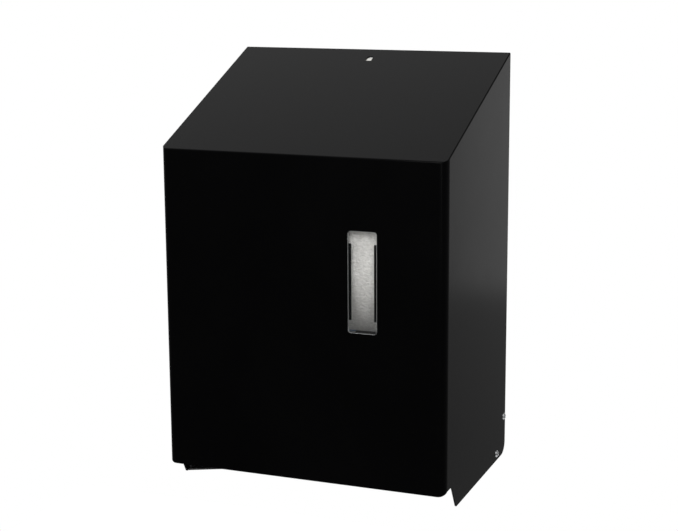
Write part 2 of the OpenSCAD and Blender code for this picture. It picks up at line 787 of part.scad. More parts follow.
// Two lugs on a foot, for the pin of the right arm
module arm_bracket() {
    foot_w = 34;
    low = arm_low - lug_t - pass_gap;
    high = arm_high + arm_spring_h;
    color("#9a9da0") difference() {
        union() {
            translate([arm_mid - foot_w / 2, -2 * plate_t, low])
                cube([foot_w, plate_t, high + lug_t - low]);
            for (z = [low, high]) translate([arm_mid, 0, z]) linear_extrude(lug_t) {
                translate([-lug_r, -arm_pin_back]) square([2 * lug_r, arm_pin_back - plate_t]);
                translate([0, -arm_pin_back]) circle(r = lug_r);
            }
        }
        translate([arm_mid, -arm_pin_back, low - cut]) cylinder(h = high + lug_t - low + 2 * cut, r = arm_pin_r);
        for (d = [-arm_screw_dx, arm_screw_dx]) translate([arm_mid + d, 0, roll_up + 4]) rotate([90, 0, 0])
            cylinder(h = 3 * plate_t, r = screw_r);
    }
}

module left_arm_bracket() mirror([1, 0, 0]) arm_bracket();

module right_arm_bracket() arm_bracket();

module arm_pins() {
    low = arm_low - lug_t - pass_gap - 1;
    color("#c9ccce") both_sides() translate([arm_mid, -arm_pin_back, low])
        cylinder(h = arm_high + arm_spring_h + lug_t + 1 - low, r = arm_pin_r);
}

// Coil round the right arm's pin, above the eye
function arm_spring_path() =
    let (room = arm_spring_h - 2 * small_wire - 4 * running, leg = 7)
    [for (p = torsion(arm_pin_r + small_wire + 0.6, room / arm_turns, arm_turns, leg))
        [arm_mid - p[0], -arm_pin_back - p[1] * 0.9, arm_high + small_wire + 2 * running + p[2]]];

module arm_spring() color("#c9ccce") wire(arm_spring_path(), small_wire, [1, 0, 0]);

module left_arm_spring() mirror([1, 0, 0]) arm_spring();

module right_arm_spring() arm_spring();

// Right arm: an eye on its pin, a tapered blade with a window, a round front end and the hub's stub
module roll_arm() {
    eye = side(arm_pin_back + arm_eye_r, roll_up);
    slot_from = side(arm_pin_back + 24, roll_up);
    slot_to = side(roll_back - arm_boss_r - 12, roll_up);
    color("#55585b") difference() {
        union() {
            across(arm_in, arm_in + arm_t) polygon(link(eye, arm_eye_h / 2, roll_axis, arm_boss_r));
            translate([arm_mid, -arm_pin_back, arm_low]) cylinder(h = arm_eye_h, r = arm_eye_r);
            bar(roll_axis, stub_r + 3, hub_out + pass_gap, arm_in);
            bar(roll_axis, stub_r, hub_in - hub_plug_l + 1, hub_out + pass_gap);
        }
        translate([arm_mid, -arm_pin_back, arm_low - cut])
            cylinder(h = arm_eye_h + 2 * cut, r = arm_pin_r + running);
        translate([arm_mid - 2 * arm_eye_r, -arm_pin_back + arm_eye_r, arm_low - cut])
            cube([4 * arm_eye_r, arm_pin_back, arm_eye_h + 2 * cut]);
        across(arm_in - cut, arm_in + arm_t + cut) polygon(link(slot_from, 4, slot_to, 6));
    }
}

module left_roll_arm() mirror([1, 0, 0]) roll_arm();

module right_roll_arm() roll_arm();

// Right hub: a flange and a tapered plug for the core, turning on the arm's stub
module hub() {
    end = hub_in - hub_plug_l;
    color("#e4e2dc") about(roll_axis) rotate_extrude() polygon(
        [[stub_r + running, end], [hub_plug_r - hub_taper, end], [hub_plug_r, hub_in],
         [hub_flange_r, hub_in], [hub_flange_r, hub_out], [stub_r + running, hub_out]]);
}

module left_hub() mirror([1, 0, 0]) hub();

module right_hub() hub();

module towel_roll() {
    color("#f2f0ea") about(roll_axis) translate([0, 0, -roll_w / 2]) difference() {
        cylinder(h = roll_w, r = roll_r);
        translate([0, 0, -cut]) cylinder(h = roll_w + 2 * cut, r = core_r + core_t);
    }
}

module roll_core() {
    color("#b08d62") about(roll_axis) translate([0, 0, -roll_w / 2]) difference() {
        cylinder(h = roll_w, r = core_r + core_t);
        translate([0, 0, -cut]) cylinder(h = roll_w + 2 * cut, r = core_r);
    }
}

// Cheeks and guides

// Outline of a cheek, counter-clockwise in side view, with its front foot at a given height
function cheek_outline(foot_up) =
    [side(plate_t, drum_up - cheek_below), side(plate_t, yoke_up + cheek_above),
     side(yoke_back + cheek_above, yoke_up + cheek_above), side(drum_back + shoulder_ahead, drum_up + shoulder_up),
     side(foot_back, drum_up + foot_l), side(foot_back, foot_up), side(foot_back - foot_l, foot_up),
     side(drum_back - shoulder_ahead, drum_up - cheek_below)];

// Right cheek: a plate with a rim, holes for the bush, yoke, posts and a flange on the wall plate
module cheek(foot_up) {
    path = cheek_outline(foot_up);
    radii = [0, 0, 14, 14, 18, 4, 6, 10];
    lighten = side(drum_back - lighten_behind, drum_up - cheek_below / 2 - lighten_r / 2);
    difference() {
        union() {
            across(cheek_in, cheek_out) polygon(rounded(path, radii));
            across(cheek_out, cheek_out + rim_h) difference() {
                polygon(rounded(path, radii));
                polygon(rounded(inset(path, rim_w), [for (r = radii) max(r - rim_w, 0)]));
            }
            translate([cheek_out, -plate_t - cheek_flange_t, drum_up - cheek_flange_low])
                cube([cheek_flange_w, cheek_flange_t, yoke_above + cheek_flange_low + cheek_flange_high]);
        }
        bar(drum_axis, bush_r, cheek_in - cut, cheek_out + cut);
        bar(yoke_axis, yoke_pin_r + running, cheek_in - cut, cheek_out + cut);
        for (p = guide_posts()) bar(p, post_r, cheek_in - cut, cheek_out + cut);
        bar(lighten, lighten_r, cheek_in - cut, cheek_out + cut);
        for (z = cheek_screw_ups) translate([cheek_screw_x, 0, z]) rotate([90, 0, 0])
            cylinder(h = 3 * cheek_flange_t, r = screw_r);
    }
}

module left_cheek() color("#6b6f73") mirror([1, 0, 0]) cheek(guard_up + guard_t);

module right_cheek() color("#6b6f73") difference() {
    cheek(drum_up - cheek_foot);
    bar(side(post_back, drum_up), crank_pin_r, cheek_in - cut, cheek_out + cut);
}

// Tray under the feed wheel, joined below the left cheek's foot, with a rim by the hood's side
module wheel_guard() {
    rear = drum_back - guard_behind;
    front_out = hood_d - tip_in - guard_tip_gap;
    front_in = front_out - guard_skew;
    rim = 9;
    color("#202224") {
        translate([0, 0, guard_up]) linear_extrude(guard_t) polygon(
            [[-cheek_in, -rear], [-guard_out, -rear], [-guard_out, -front_out], [-cheek_in, -front_in]]);
        translate([-guard_out, -front_out + 3, guard_up + guard_t]) cube([guard_t, front_out - rear - 3, rim]);
    }
}

// Flanged bushes in the cheeks for the drum's axles
module drum_bushes() {
    color("#d9c27a") both_sides() about(drum_axis) difference() {
        union() {
            translate([0, 0, cheek_in]) cylinder(h = cheek_t, r = bush_r);
            translate([0, 0, cheek_out]) cylinder(h = bush_flange_t, r = bush_flange_r);
        }
        translate([0, 0, cheek_in - cut]) cylinder(h = cheek_t + bush_flange_t + 2 * cut, r = axle_r + running);
    }
}

// A point at a distance and an angle from the drum's axis
function round_drum(r, a) = drum_axis + r * [cos(a), sin(a)];

chute_dir = [sin(rear_angles[0]), -cos(rear_angles[0])];
chute_down = [-chute_dir[1], chute_dir[0]];
rear_post_angles = [rear_angles[1] - 10, rear_angles[0] + 14];
front_post_angles = [front_angles[0] + 14, front_angles[1] - 14];
function chute_at(s, d) = round_drum(rear_r, rear_angles[0]) + s * chute_dir - d * chute_down;
function rear_posts() = concat([for (a = rear_post_angles) round_drum(post_ring, a)], [chute_at(chute_post, -7)]);
function front_posts() = [for (a = front_post_angles) round_drum(post_ring, a)];
function guide_posts() = concat(rear_posts(), front_posts());

// Points of an arc about the drum's axis
function arc_points(r, a0, a1) =
    let (n = 24)
    [for (i = [0 : n]) round_drum(r, a0 + (a1 - a0) * i / n)];

// Side view of the rear guide, from the drum's side out to a second radius, with its chute that deep
function rear_side(outer_r, depth) = concat(
    arc_points(rear_r, rear_angles[1], rear_angles[0]),
    [chute_at(chute_l, 0), chute_at(chute_l, -depth)],
    arc_points(outer_r, rear_angles[0], rear_angles[1]));

// Guide that follows the rear of the drum and runs out as a chute, with side flanges and posts
module rear_guide() {
    lip = 12;
    color("#8f9397") {
        across(-guide_out, guide_out) polygon(rear_side(rear_r + guide_t, guide_t));
        both_sides() {
            across(guide_out - guide_flange_t, guide_out) polygon(rear_side(post_edge, lip));
            for (p = rear_posts()) bar(p, post_r, guide_out - guide_flange_t, cheek_out);
        }
    }
}

// Guide in front of the drum, outside the knife's reach
module front_guide() {
    color("#8f9397") {
        about(drum_axis) band(front_r, front_r + guide_t, front_angles[0], front_angles[1], -guide_out, guide_out);
        both_sides() {
            about(drum_axis) band(front_r, post_edge, front_angles[0], front_angles[1], guide_out - guide_flange_t, guide_out);
            for (p = front_posts()) bar(p, post_r, guide_out - guide_flange_t, cheek_out);
        }
    }
}

// Drum

// Half of the drum's shell with three inner ribs, between two angles
module drum_shell(a0, a1) {
    rib_h = 4;
    rib_t = 2.5;
    rib_from = a0 < 180 ? a0 + 24 : a0 + 8;
    rib_to = a0 < 180 ? a1 - 8 : a1 - 24;
    color("#34373a") about(drum_axis) {
        band(shell_in, drum_r, a0, a1, -drum_end, drum_end);
        for (x = [-drum_l * 0.3, 0, drum_l * 0.3])
            band(shell_in - rib_h, shell_in + drum_wall / 2, rib_from, rib_to, x - rib_t / 2, x + rib_t / 2);
    }
}

seam_half = 0.2;
module drum_upper_shell() drum_shell(slot_half, 180 - seam_half);
module drum_lower_shell() drum_shell(180 + seam_half, 360 - slot_half);

// Right end cap: a disc with a locating ring, a hole for the axle and a bearing for the knife
module drum_cap() {
    ring_t = 2.3;
    ring_l = 5;
    ring_from = slot_half + 10;
    color("#4a4e52") about(drum_axis) difference() {
        union() {
            translate([0, 0, drum_end]) cylinder(h = cap_t, r = drum_r);
            band(shell_in - ring_t - 2 * running, shell_in - 2 * running, ring_from, 360 - ring_from,
                 drum_end - ring_l, drum_end + cap_t / 2);
            translate([0, 0, drum_end - ring_l]) cylinder(h = ring_l, r = axle_r + 4);
        }
        translate([0, 0, drum_end - ring_l - cut]) cylinder(h = cap_t + ring_l + 2 * cut, r = axle_r);
        translate([knife_out, 0, drum_end - cut]) cylinder(h = cap_t + 2 * cut, r = knife_shaft_r + running);
    }
}

module left_drum_cap() mirror([1, 0, 0]) drum_cap();

module right_drum_cap() drum_cap();

module drum_axles() {
    inner = drum_end - 5;
    color("#c9ccce") {
        bar(drum_axis, axle_r, inner, crank_out);
        bar(drum_axis, axle_r, -wheel_out, -inner);
    }
}

// Middle of each grip band and pressure sleeve along the drum
function grip_places() = let (pitch = drum_l * 0.97 / band_count)
    [for (i = [0 : band_count - 1]) (i - (band_count - 1) / 2) * pitch];

module grip_bands() {
    inset_a = 2;
    color("#15161a") about(drum_axis) for (x = grip_places()) {
        band(drum_r + running, grip_r, slot_half + inset_a, 180 - inset_a, x - band_w / 2, x + band_w / 2);
        band(drum_r + running, grip_r, 180 + inset_a, 360 - slot_half - inset_a, x - band_w / 2, x + band_w / 2);
    }
}

// Hand wheel on the left axle, with a notched rim, a thin web and a hub
module feed_wheel() {
    notches = 36;
    notch = 1.4;
    web_t = 3;
    rim = 5;
    color("#2f6f9f") about(drum_axis) translate([0, 0, -wheel_out]) difference() {
        linear_extrude(wheel_w) polygon([for (i = [0 : 4 * notches - 1])
            let (r = wheel_r - (i % 4 < 2 ? 0 : notch)) r * [cos(90 * i / notches), sin(90 * i / notches)]]);
        translate([0, 0, -cut]) cylinder(h = wheel_w + 2 * cut, r = axle_r);
        translate([0, 0, web_t]) difference() {
            cylinder(h = wheel_w, r = wheel_r - notch - rim);
            cylinder(h = wheel_w, r = axle_r + 4);
        }
    }
}

// Disc on the right axle with the pin that the return spring pulls
module crank_disc() {
    color("#4a4e52") about(drum_axis) difference() {
        union() {
            translate([0, 0, side_gear_x]) cylinder(h = crank_t, r = crank_r);
            translate([crank_arm, 0, crank_out]) cylinder(h = crank_pin_l, r = crank_pin_r);
            translate([crank_arm, 0, crank_out + crank_pin_l - post_head_t]) cylinder(h = post_head_t, r = post_head_r);
        }
        translate([0, 0, side_gear_x - cut]) cylinder(h = crank_t + 2 * cut, r = axle_r);
    }
}

module spring_post() {
    post = side(post_back, drum_up);
    color("#c9ccce") {
        bar(post, crank_pin_r, cheek_in, crank_out + crank_pin_l);
        bar(post, post_head_r, crank_out + crank_pin_l - post_head_t, crank_out + crank_pin_l);
    }
}

function return_path() =
    let (span = drum_back - crank_arm - post_back, hook_r = crank_pin_r + return_wire + 0.3)
    [for (p = hooked(span, return_coil, return_turns, hook_r))
        [spring_x + p[2], -drum_back + crank_arm + p[0], drum_up + p[1]]];

module return_spring() color("#c9ccce") wire(return_path(), return_wire, [1, 0, 0]);

// Knife

module knife_shaft() color("#c9ccce") bar(knife_axis, knife_shaft_r, -cap_out - 1, gear_in + gear_w);

// Bar clamped on the shaft, with a ledge that the blade lies on
module knife_carrier() {
    ledge_l = 8.5;
    ledge_t = 3.5;
    color("#a9adb1") about(knife_axis) difference() {
        union() {
            translate([0, 0, -carrier_l / 2]) cylinder(h = carrier_l, r = carrier_r);
            translate([-ledge_l, -ledge_t, -carrier_l / 2]) cube([ledge_l, ledge_t, carrier_l]);
        }
        translate([0, 0, -carrier_l / 2 - cut]) cylinder(h = carrier_l + 2 * cut, r = knife_shaft_r);
        for (x = blade_screw_places()) translate([-blade_screw_in, 0, x]) rotate([90, 0, 0])
            cylinder(h = ledge_t - 1, r = blade_screw_r);
    }
}

blade_screw_r = 1;
blade_screw_in = blade_root + 1.5;
function blade_screw_places() = [for (k = [-2 : 2]) k * blade_l / 5];

// Toothed blade: X is along the drum, and the points reach out from the knife's axis
function blade_outline() =
    let (count = blade_count, half = blade_l / 2)
    concat([[-half, blade_root], [half, blade_root]],
           [for (i = [count : -1 : 0]) each [
               [-half + i * blade_pitch, knife_reach - blade_tooth],
               if (i > 0) [-half + (i - 0.5) * blade_pitch, knife_reach]]]);

module knife_blade() {
    color("#d5d8da") translate([0, knife_axis[0], knife_axis[1]]) difference() {
        linear_extrude(blade_t) mirror([0, 1]) polygon(blade_outline());
        for (x = blade_screw_places()) translate([x, -blade_screw_in, -cut])
            cylinder(h = blade_t + 2 * cut, r = blade_screw_r);
    }
}

module blade_screws() {
    color("#b9bcbf") for (x = blade_screw_places())
        translate([x, knife_axis[0] - blade_screw_in, knife_axis[1] + blade_t])
            domed_screw(1.4, 0.9, blade_screw_r, blade_t + 2);
}

// Gear on the knife's shaft, which rolls round the fixed one as the drum turns
module planet_gear() {
    color("#e4e2dc") about(knife_axis) translate([0, 0, gear_in]) difference() {
        linear_extrude(gear_w) rotate([0, 0, 180 + 180 / gear_teeth]) polygon(gear_outline(gear_teeth));
        translate([0, 0, -cut]) cylinder(h = gear_w + 2 * cut, r = knife_shaft_r);
    }
}

// Gear fixed to the right cheek, round the drum's axle
module sun_gear() {
    color("#e4e2dc") about(drum_axis) difference() {
        union() {
            translate([0, 0, gear_in]) linear_extrude(gear_w) polygon(gear_outline(gear_teeth));
            translate([0, 0, gear_in + gear_w]) cylinder(h = cheek_in - gear_in - gear_w, r = gear_r(gear_teeth) - 4);
        }
        translate([0, 0, gear_in - cut]) cylinder(h = gear_w + cheek_t, r = axle_r + pass_gap);
    }
}

// Pressure roller

// Yoke: a cross tube with pins in the cheeks, an ear at each end for the roller, and a thumb tab
module pressure_yoke() {
    tab_top = yoke_up + yoke_tab_h;
    color("#2f6f9f") difference() {
        union() {
            bar(yoke_axis, yoke_tube_r, -ear_in, ear_in);
            both_sides() {
                across(ear_in, yoke_out) polygon(link(yoke_axis, yoke_tube_r + 2, press_axis, press_shaft_r + 4));
                bar(yoke_axis, yoke_pin_r, yoke_out, cheek_out);
            }
            across(-yoke_tab_w / 2, yoke_tab_w / 2) polygon(rounded(
                [side(yoke_back - 2, yoke_up), side(yoke_back + 3, yoke_up),
                 side(yoke_back + 8, tab_top), side(yoke_back + 5, tab_top)],
                [0, 0, 1, 1]));
        }
        bar(press_axis, press_shaft_r + running, ear_in - cut, yoke_out + cut);
        bar(press_axis, press_shaft_r + running, -yoke_out - cut, -ear_in + cut);
    }
}

// Coil round the yoke's tube beside its right ear
function yoke_spring_path() =
    let (pitch = 2.2, leg = 12)
    [for (p = torsion(yoke_coil_r, pitch, yoke_turns, leg))
        [ear_in - 1.5 - p[2], yoke_axis[0] - p[0], yoke_axis[1] + p[1]]];

module yoke_springs() color("#c9ccce") both_sides() wire(yoke_spring_path(), small_wire, [1, 0, 0]);

module pressure_shaft() color("#c9ccce") bar(press_axis, press_shaft_r, -yoke_out, yoke_out);

module pressure_sleeves() {
    color("#15161a") about(press_axis) for (x = grip_places()) translate([0, 0, x - sleeve_l / 2]) difference() {
        cylinder(h = sleeve_l, r = press_r);
        translate([0, 0, -cut]) cylinder(h = sleeve_l + 2 * cut, r = press_shaft_r);
    }
}

echo("least gap in the return spring", least_gap(return_path(), return_wire));
echo("least gap in an arm spring", least_gap(arm_spring_path(), small_wire));
echo("least gap in a yoke spring", least_gap(yoke_spring_path(), small_wire));
echo("least gap in the latch spring", least_gap(latch_spring_path(), small_wire));

on_wall() hood();
on_wall() window();
on_wall() left_hinge_plate();
on_wall() right_hinge_plate();
on_wall() hinge_screws();
on_wall() strike_plate();
on_wall() wall_plate();
on_wall() hinge_pins();
on_wall() latch_bracket();
on_wall() latch_lever();
on_wall() latch_pin();
on_wall() latch_spring();
on_wall() left_arm_bracket();
on_wall() right_arm_bracket();
on_wall() arm_pins();
on_wall() left_arm_spring();
on_wall() right_arm_spring();
on_wall() left_roll_arm();
on_wall() right_roll_arm();
on_wall() left_hub();
on_wall() right_hub();
on_wall() towel_roll();
on_wall() roll_core();
on_wall() left_cheek();
on_wall() right_cheek();
on_wall() wheel_guard();
on_wall() drum_bushes();
on_wall() rear_guide();
on_wall() front_guide();
on_wall() chassis_screws();
on_wall() spring_post();
on_wall() return_spring();
on_wall() drum_upper_shell();
on_wall() drum_lower_shell();
on_wall() left_drum_cap();
on_wall() right_drum_cap();
on_wall() drum_axles();
on_wall() grip_bands();
on_wall() feed_wheel();
on_wall() crank_disc();
on_wall() knife_shaft();
on_wall() knife_carrier();
on_wall() knife_blade();
on_wall() blade_screws();
on_wall() planet_gear();
on_wall() sun_gear();
on_wall() pressure_yoke();
on_wall() yoke_springs();
on_wall() pressure_shaft();
on_wall() pressure_sleeves();
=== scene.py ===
"""Dresses the wall towel dispenser: finishes, small formed details, light and camera.

Every length is in metres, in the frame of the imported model: the origin is on the wall at the
centre of the wall screws, X runs to the right, Y into the wall and Z up.
"""

import logging
import math
from dataclasses import dataclass
from enum import Enum

import bmesh
import bpy
from mathutils import Matrix, Vector


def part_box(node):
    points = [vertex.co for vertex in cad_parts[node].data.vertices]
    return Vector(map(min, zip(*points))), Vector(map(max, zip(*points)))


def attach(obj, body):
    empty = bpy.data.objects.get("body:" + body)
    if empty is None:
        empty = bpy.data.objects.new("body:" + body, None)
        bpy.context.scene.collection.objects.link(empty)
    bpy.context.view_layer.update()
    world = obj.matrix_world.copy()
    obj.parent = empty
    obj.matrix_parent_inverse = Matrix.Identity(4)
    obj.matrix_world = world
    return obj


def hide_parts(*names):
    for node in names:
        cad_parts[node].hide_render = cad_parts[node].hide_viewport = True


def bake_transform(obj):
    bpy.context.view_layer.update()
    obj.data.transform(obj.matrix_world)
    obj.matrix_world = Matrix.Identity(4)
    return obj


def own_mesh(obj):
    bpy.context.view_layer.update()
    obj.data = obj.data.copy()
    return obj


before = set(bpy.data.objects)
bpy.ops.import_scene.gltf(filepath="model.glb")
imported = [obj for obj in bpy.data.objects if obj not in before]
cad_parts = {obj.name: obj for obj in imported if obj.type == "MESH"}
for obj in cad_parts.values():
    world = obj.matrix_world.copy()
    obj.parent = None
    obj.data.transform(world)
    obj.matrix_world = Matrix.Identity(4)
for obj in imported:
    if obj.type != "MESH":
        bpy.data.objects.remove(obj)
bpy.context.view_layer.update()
LOG = logging.getLogger("towel_dispenser")

Vec3 = tuple[float, float, float]
Pair = tuple[float, float]
Ramp = tuple[float, float, float, float]
SAME_POINT = 0.000002
WHITE = (1.0, 1.0, 1.0, 1.0)


def middle_of(node: str) -> Vector:
    """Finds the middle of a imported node, which lies on its axis where the node is turned.

    Args:
        node: The node's name.

    Returns:
        The middle of its box.
    """
    low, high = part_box(node)
    return (low + high) / 2


def half_of(node: str) -> Vector:
    """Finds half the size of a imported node.

    Args:
        node: The node's name.

    Returns:
        Half the width, depth and height of its box.
    """
    low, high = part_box(node)
    return (high - low) / 2


ROLL_MIDDLE = middle_of("towel_roll")
ROLL_HALF_WIDTH, ROLL_RADIUS, _ = half_of("towel_roll")
DRUM_MIDDLE = middle_of("drum_bushes")
WINDOW_MIDDLE = middle_of("window")
WINDOW_HALF = half_of("window")
HOOD_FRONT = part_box("hood")[0].y


class Graph:
    """A node tree with short calls for adding and joining nodes."""

    def __init__(self, tree: bpy.types.NodeTree) -> None:
        """Wraps a tree.

        Args:
            tree: The shader or geometry tree to build in.
        """
        self.tree = tree

    def add(self, kind: str, settings: dict | None = None, **inputs: object) -> bpy.types.Node:
        """Adds a node.

        Args:
            kind: The node's type name.
            settings: Properties of the node itself.
            inputs: Values or sockets for its inputs, by name with spaces written as underscores.

        Returns:
            The new node.
        """
        node = self.tree.nodes.new(kind)
        for name, value in (settings or {}).items():
            setattr(node, name, value)
        for name, value in inputs.items():
            self.feed(node.inputs[name.replace("_", " ")], value)
        return node

    def feed(self, socket: bpy.types.NodeSocket, value: object) -> None:
        """Links a socket to an input, or sets the input's own value."""
        if isinstance(value, bpy.types.NodeSocket):
            self.tree.links.new(value, socket)
        else:
            socket.default_value = value

    def math(self, operation: str, *values: object) -> bpy.types.NodeSocket:
        """Adds a maths node.

        Args:
            operation: Blender's name of the operation.
            values: Numbers or sockets, in order.

        Returns:
            The result's socket.
        """
        node = self.add("ShaderNodeMath", {"operation": operation})
        for socket, value in zip(node.inputs, values):
            self.feed(socket, value)
        return node.outputs[0]

    def blend(self, amount: object, first: object, second: object) -> bpy.types.NodeSocket:
        """Mixes two colours.

        Args:
            amount: Share of the second colour.
            first: Colour at share 0.
            second: Colour at share 1.

        Returns:
            The mixed colour's socket.
        """
        node = self.add("ShaderNodeMix", {"data_type": "RGBA"})
        self.feed(node.inputs[0], amount)
        self.feed(node.inputs[6], first)
        self.feed(node.inputs[7], second)
        return node.outputs[2]

    def span(self, value: object, low: float, high: float, to_low: float,
             to_high: float) -> bpy.types.NodeSocket:
        """Maps a value from one range to another and holds it there.

        Args:
            value: The value's socket.
            low: Start of its range.
            high: End of its range.
            to_low: Result at the start.
            to_high: Result at the end.

        Returns:
            The mapped value's socket.
        """
        node = self.add("ShaderNodeMapRange", {"clamp": True})
        for socket, item in zip(node.inputs, (value, low, high, to_low, to_high)):
            self.feed(socket, item)
        return node.outputs[0]


class Effect(Enum):
    """Surface effects that several finishes share."""

    GRAIN = "fine_grain"
    BRUSHED = "brushed_lines"
    HANDLING = "handling_marks"


NOISE_HEIGHT = 0.6
CELL_HEIGHT = 0.5
BRUSH_STRETCH = (0.03, 1.0, 1.0)
MARK_RANGE = (0.35, 0.7)


def effect_tree(effect: Effect) -> bpy.types.NodeTree:
    """Builds a shared effect once.

    Args:
        effect: The effect to build or find.

    Returns:
        Its shader node group, with outputs Shade and Height between 0 and 1.
    """
    found = bpy.data.node_groups.get(effect.value)
    if found:
        return found
    tree = bpy.data.node_groups.new(effect.value, "ShaderNodeTree")
    tree.interface.new_socket("Place", in_out="INPUT", socket_type="NodeSocketVector")
    tree.interface.new_socket("Scale", in_out="INPUT", socket_type="NodeSocketFloat")
    for name in ("Shade", "Height"):
        tree.interface.new_socket(name, in_out="OUTPUT", socket_type="NodeSocketFloat")
    graph = Graph(tree)
    source = graph.add("NodeGroupInput")
    result = graph.add("NodeGroupOutput")
    place, scale = source.outputs["Place"], source.outputs["Scale"]
    if effect is Effect.GRAIN:
        fine = graph.add("ShaderNodeTexNoise", Vector=place, Scale=scale, Detail=4.0, Roughness=0.6)
        cells = graph.add("ShaderNodeTexVoronoi", Vector=place, Scale=scale)
        height = graph.math("ADD", graph.math("MULTIPLY", fine.outputs["Fac"], NOISE_HEIGHT),
                            graph.math("MULTIPLY", cells.outputs["Distance"], CELL_HEIGHT))
        shade = fine.outputs["Fac"]
    elif effect is Effect.BRUSHED:
        stretch = graph.add("ShaderNodeMapping", Vector=place, Scale=BRUSH_STRETCH)
        lines = graph.add("ShaderNodeTexNoise", Vector=stretch.outputs[0], Scale=scale, Detail=3.0,
                          Roughness=0.7)
        height = lines.outputs["Fac"]
        shade = lines.outputs["Fac"]
    else:
        broad = graph.add("ShaderNodeTexNoise", Vector=place, Scale=scale, Detail=6.0, Roughness=0.65,
                          Distortion=0.6)
        shade = graph.span(broad.outputs["Fac"], *MARK_RANGE, 0.0, 1.0)
        height = shade
    graph.feed(result.inputs["Shade"], shade)
    graph.feed(result.inputs["Height"], height)
    return tree


@dataclass(frozen=True)
class Finish:
    """A surface with grain, handling marks and a bump, all on object coordinates."""

    name: str
    colour: Vec3
    second: Vec3
    roughness: Pair
    metallic: float = 0.0
    grain: Effect = Effect.GRAIN
    grain_scale: float = 1500.0
    bump: float = 0.1
    depth: float = 0.0001
    marks: float = 14.0
    specular: float = 0.5
    grain_share: float = 0.55
    marks_share: float = 0.45
    shade_range: Pair = (0.2, 0.8)

    def clearness(self, graph: Graph, place: bpy.types.NodeSocket) -> object:
        """Gives the surface's alpha, which is 1 where nothing shows through."""
        return 1.0

    def surface(self, graph: Graph, place: bpy.types.NodeSocket) -> tuple[object, object, object]:
        """Works out what varies over the surface.

        Args:
            graph: The material's tree.
            place: Object coordinates.

        Returns:
            Sockets for colour, roughness and bump height.
        """
        fine = graph.add("ShaderNodeGroup", {"node_tree": effect_tree(self.grain)},
                         Place=place, Scale=self.grain_scale)
        broad = graph.add("ShaderNodeGroup", {"node_tree": effect_tree(Effect.HANDLING)},
                          Place=place, Scale=self.marks)
        share = graph.math("ADD", graph.math("MULTIPLY", fine.outputs["Shade"], self.grain_share),
                           graph.math("MULTIPLY", broad.outputs["Shade"], self.marks_share))
        colour = graph.blend(share, (*self.colour, 1.0), (*self.second, 1.0))
        rough = graph.span(share, *self.shade_range, *self.roughness)
        return colour, rough, fine.outputs["Height"]

    def make(self) -> bpy.types.Material:
        """Builds the material, or finds the one built before.

        Returns:
            The material.
        """
        found = bpy.data.materials.get(self.name)
        if found:
            return found
        material = bpy.data.materials.new(self.name)
        material.use_nodes = True
        material.node_tree.nodes.clear()
        graph = Graph(material.node_tree)
        place = graph.add("ShaderNodeTexCoord").outputs["Object"]
        colour, rough, height = self.surface(graph, place)
        bump = graph.add("ShaderNodeBump", Height=height, Strength=self.bump, Distance=self.depth)
        shader = graph.add("ShaderNodeBsdfPrincipled", Base_Color=colour, Roughness=rough,
                           Metallic=self.metallic, Normal=bump.outputs["Normal"],
                           Specular_IOR_Level=self.specular, Alpha=self.clearness(graph, place))
        output = graph.add("ShaderNodeOutputMaterial")
        graph.feed(output.inputs["Surface"], shader.outputs["BSDF"])
        return material


@dataclass(frozen=True)
class ClearFace(Finish):
    """Clear plastic whose rim and proud sides are drawn denser than its face, as painted highlights where its
    edges catch light.
    """

    tab: float = 0.0015
    step: float = 0.00005
    rim: float = 0.0004
    full_share: float = 0.6
    side_range: Pair = (0.4, 0.7)
    face_alpha: float = 0.008
    rim_highlight_alpha: float = 0.06
    side_highlight_alpha: float = 0.85

    def clearness(self, graph: Graph, place: bpy.types.NodeSocket) -> bpy.types.NodeSocket:
        """Makes the rim of the face and the sides that stand proud of the hood denser than the middle, so
        that their pale colour shows as painted highlights.

        Args:
            graph: The material's tree.
            place: Object coordinates.

        Returns:
            The socket for alpha.
        """
        parts = graph.add("ShaderNodeSeparateXYZ", Vector=place)
        sides = (("X", WINDOW_MIDDLE.x, WINDOW_HALF.x), ("Z", WINDOW_MIDDLE.z, WINDOW_HALF.z - self.tab))
        edges = []
        for axis, centre, half in sides:
            reach = graph.math("ABSOLUTE", graph.math("SUBTRACT", parts.outputs[axis], centre))
            full = half - self.rim * self.full_share
            edges.append(graph.span(reach, half - self.rim, full, 0.0, 1.0))
        # Painted highlight: a thin band along the face's border where the pale plastic shows denser.
        rim = graph.math("MAXIMUM", *edges)
        facing = graph.add("ShaderNodeSeparateXYZ", Vector=graph.add("ShaderNodeTexCoord").outputs["Normal"])
        side_highlight_mask = graph.span(graph.math("ABSOLUTE", facing.outputs["Y"]), *self.side_range, 1.0, 0.0)
        proud = graph.math("LESS_THAN", parts.outputs["Y"], HOOD_FRONT - self.step)
        face = graph.span(rim, 0.0, 1.0, self.face_alpha, self.rim_highlight_alpha)
        # Painted highlight: the proud sides that face sideways are nearly opaque pale plastic.
        edge = graph.math("MULTIPLY", graph.math("MULTIPLY", side_highlight_mask, proud), self.side_highlight_alpha)
        return graph.math("MAXIMUM", face, edge)


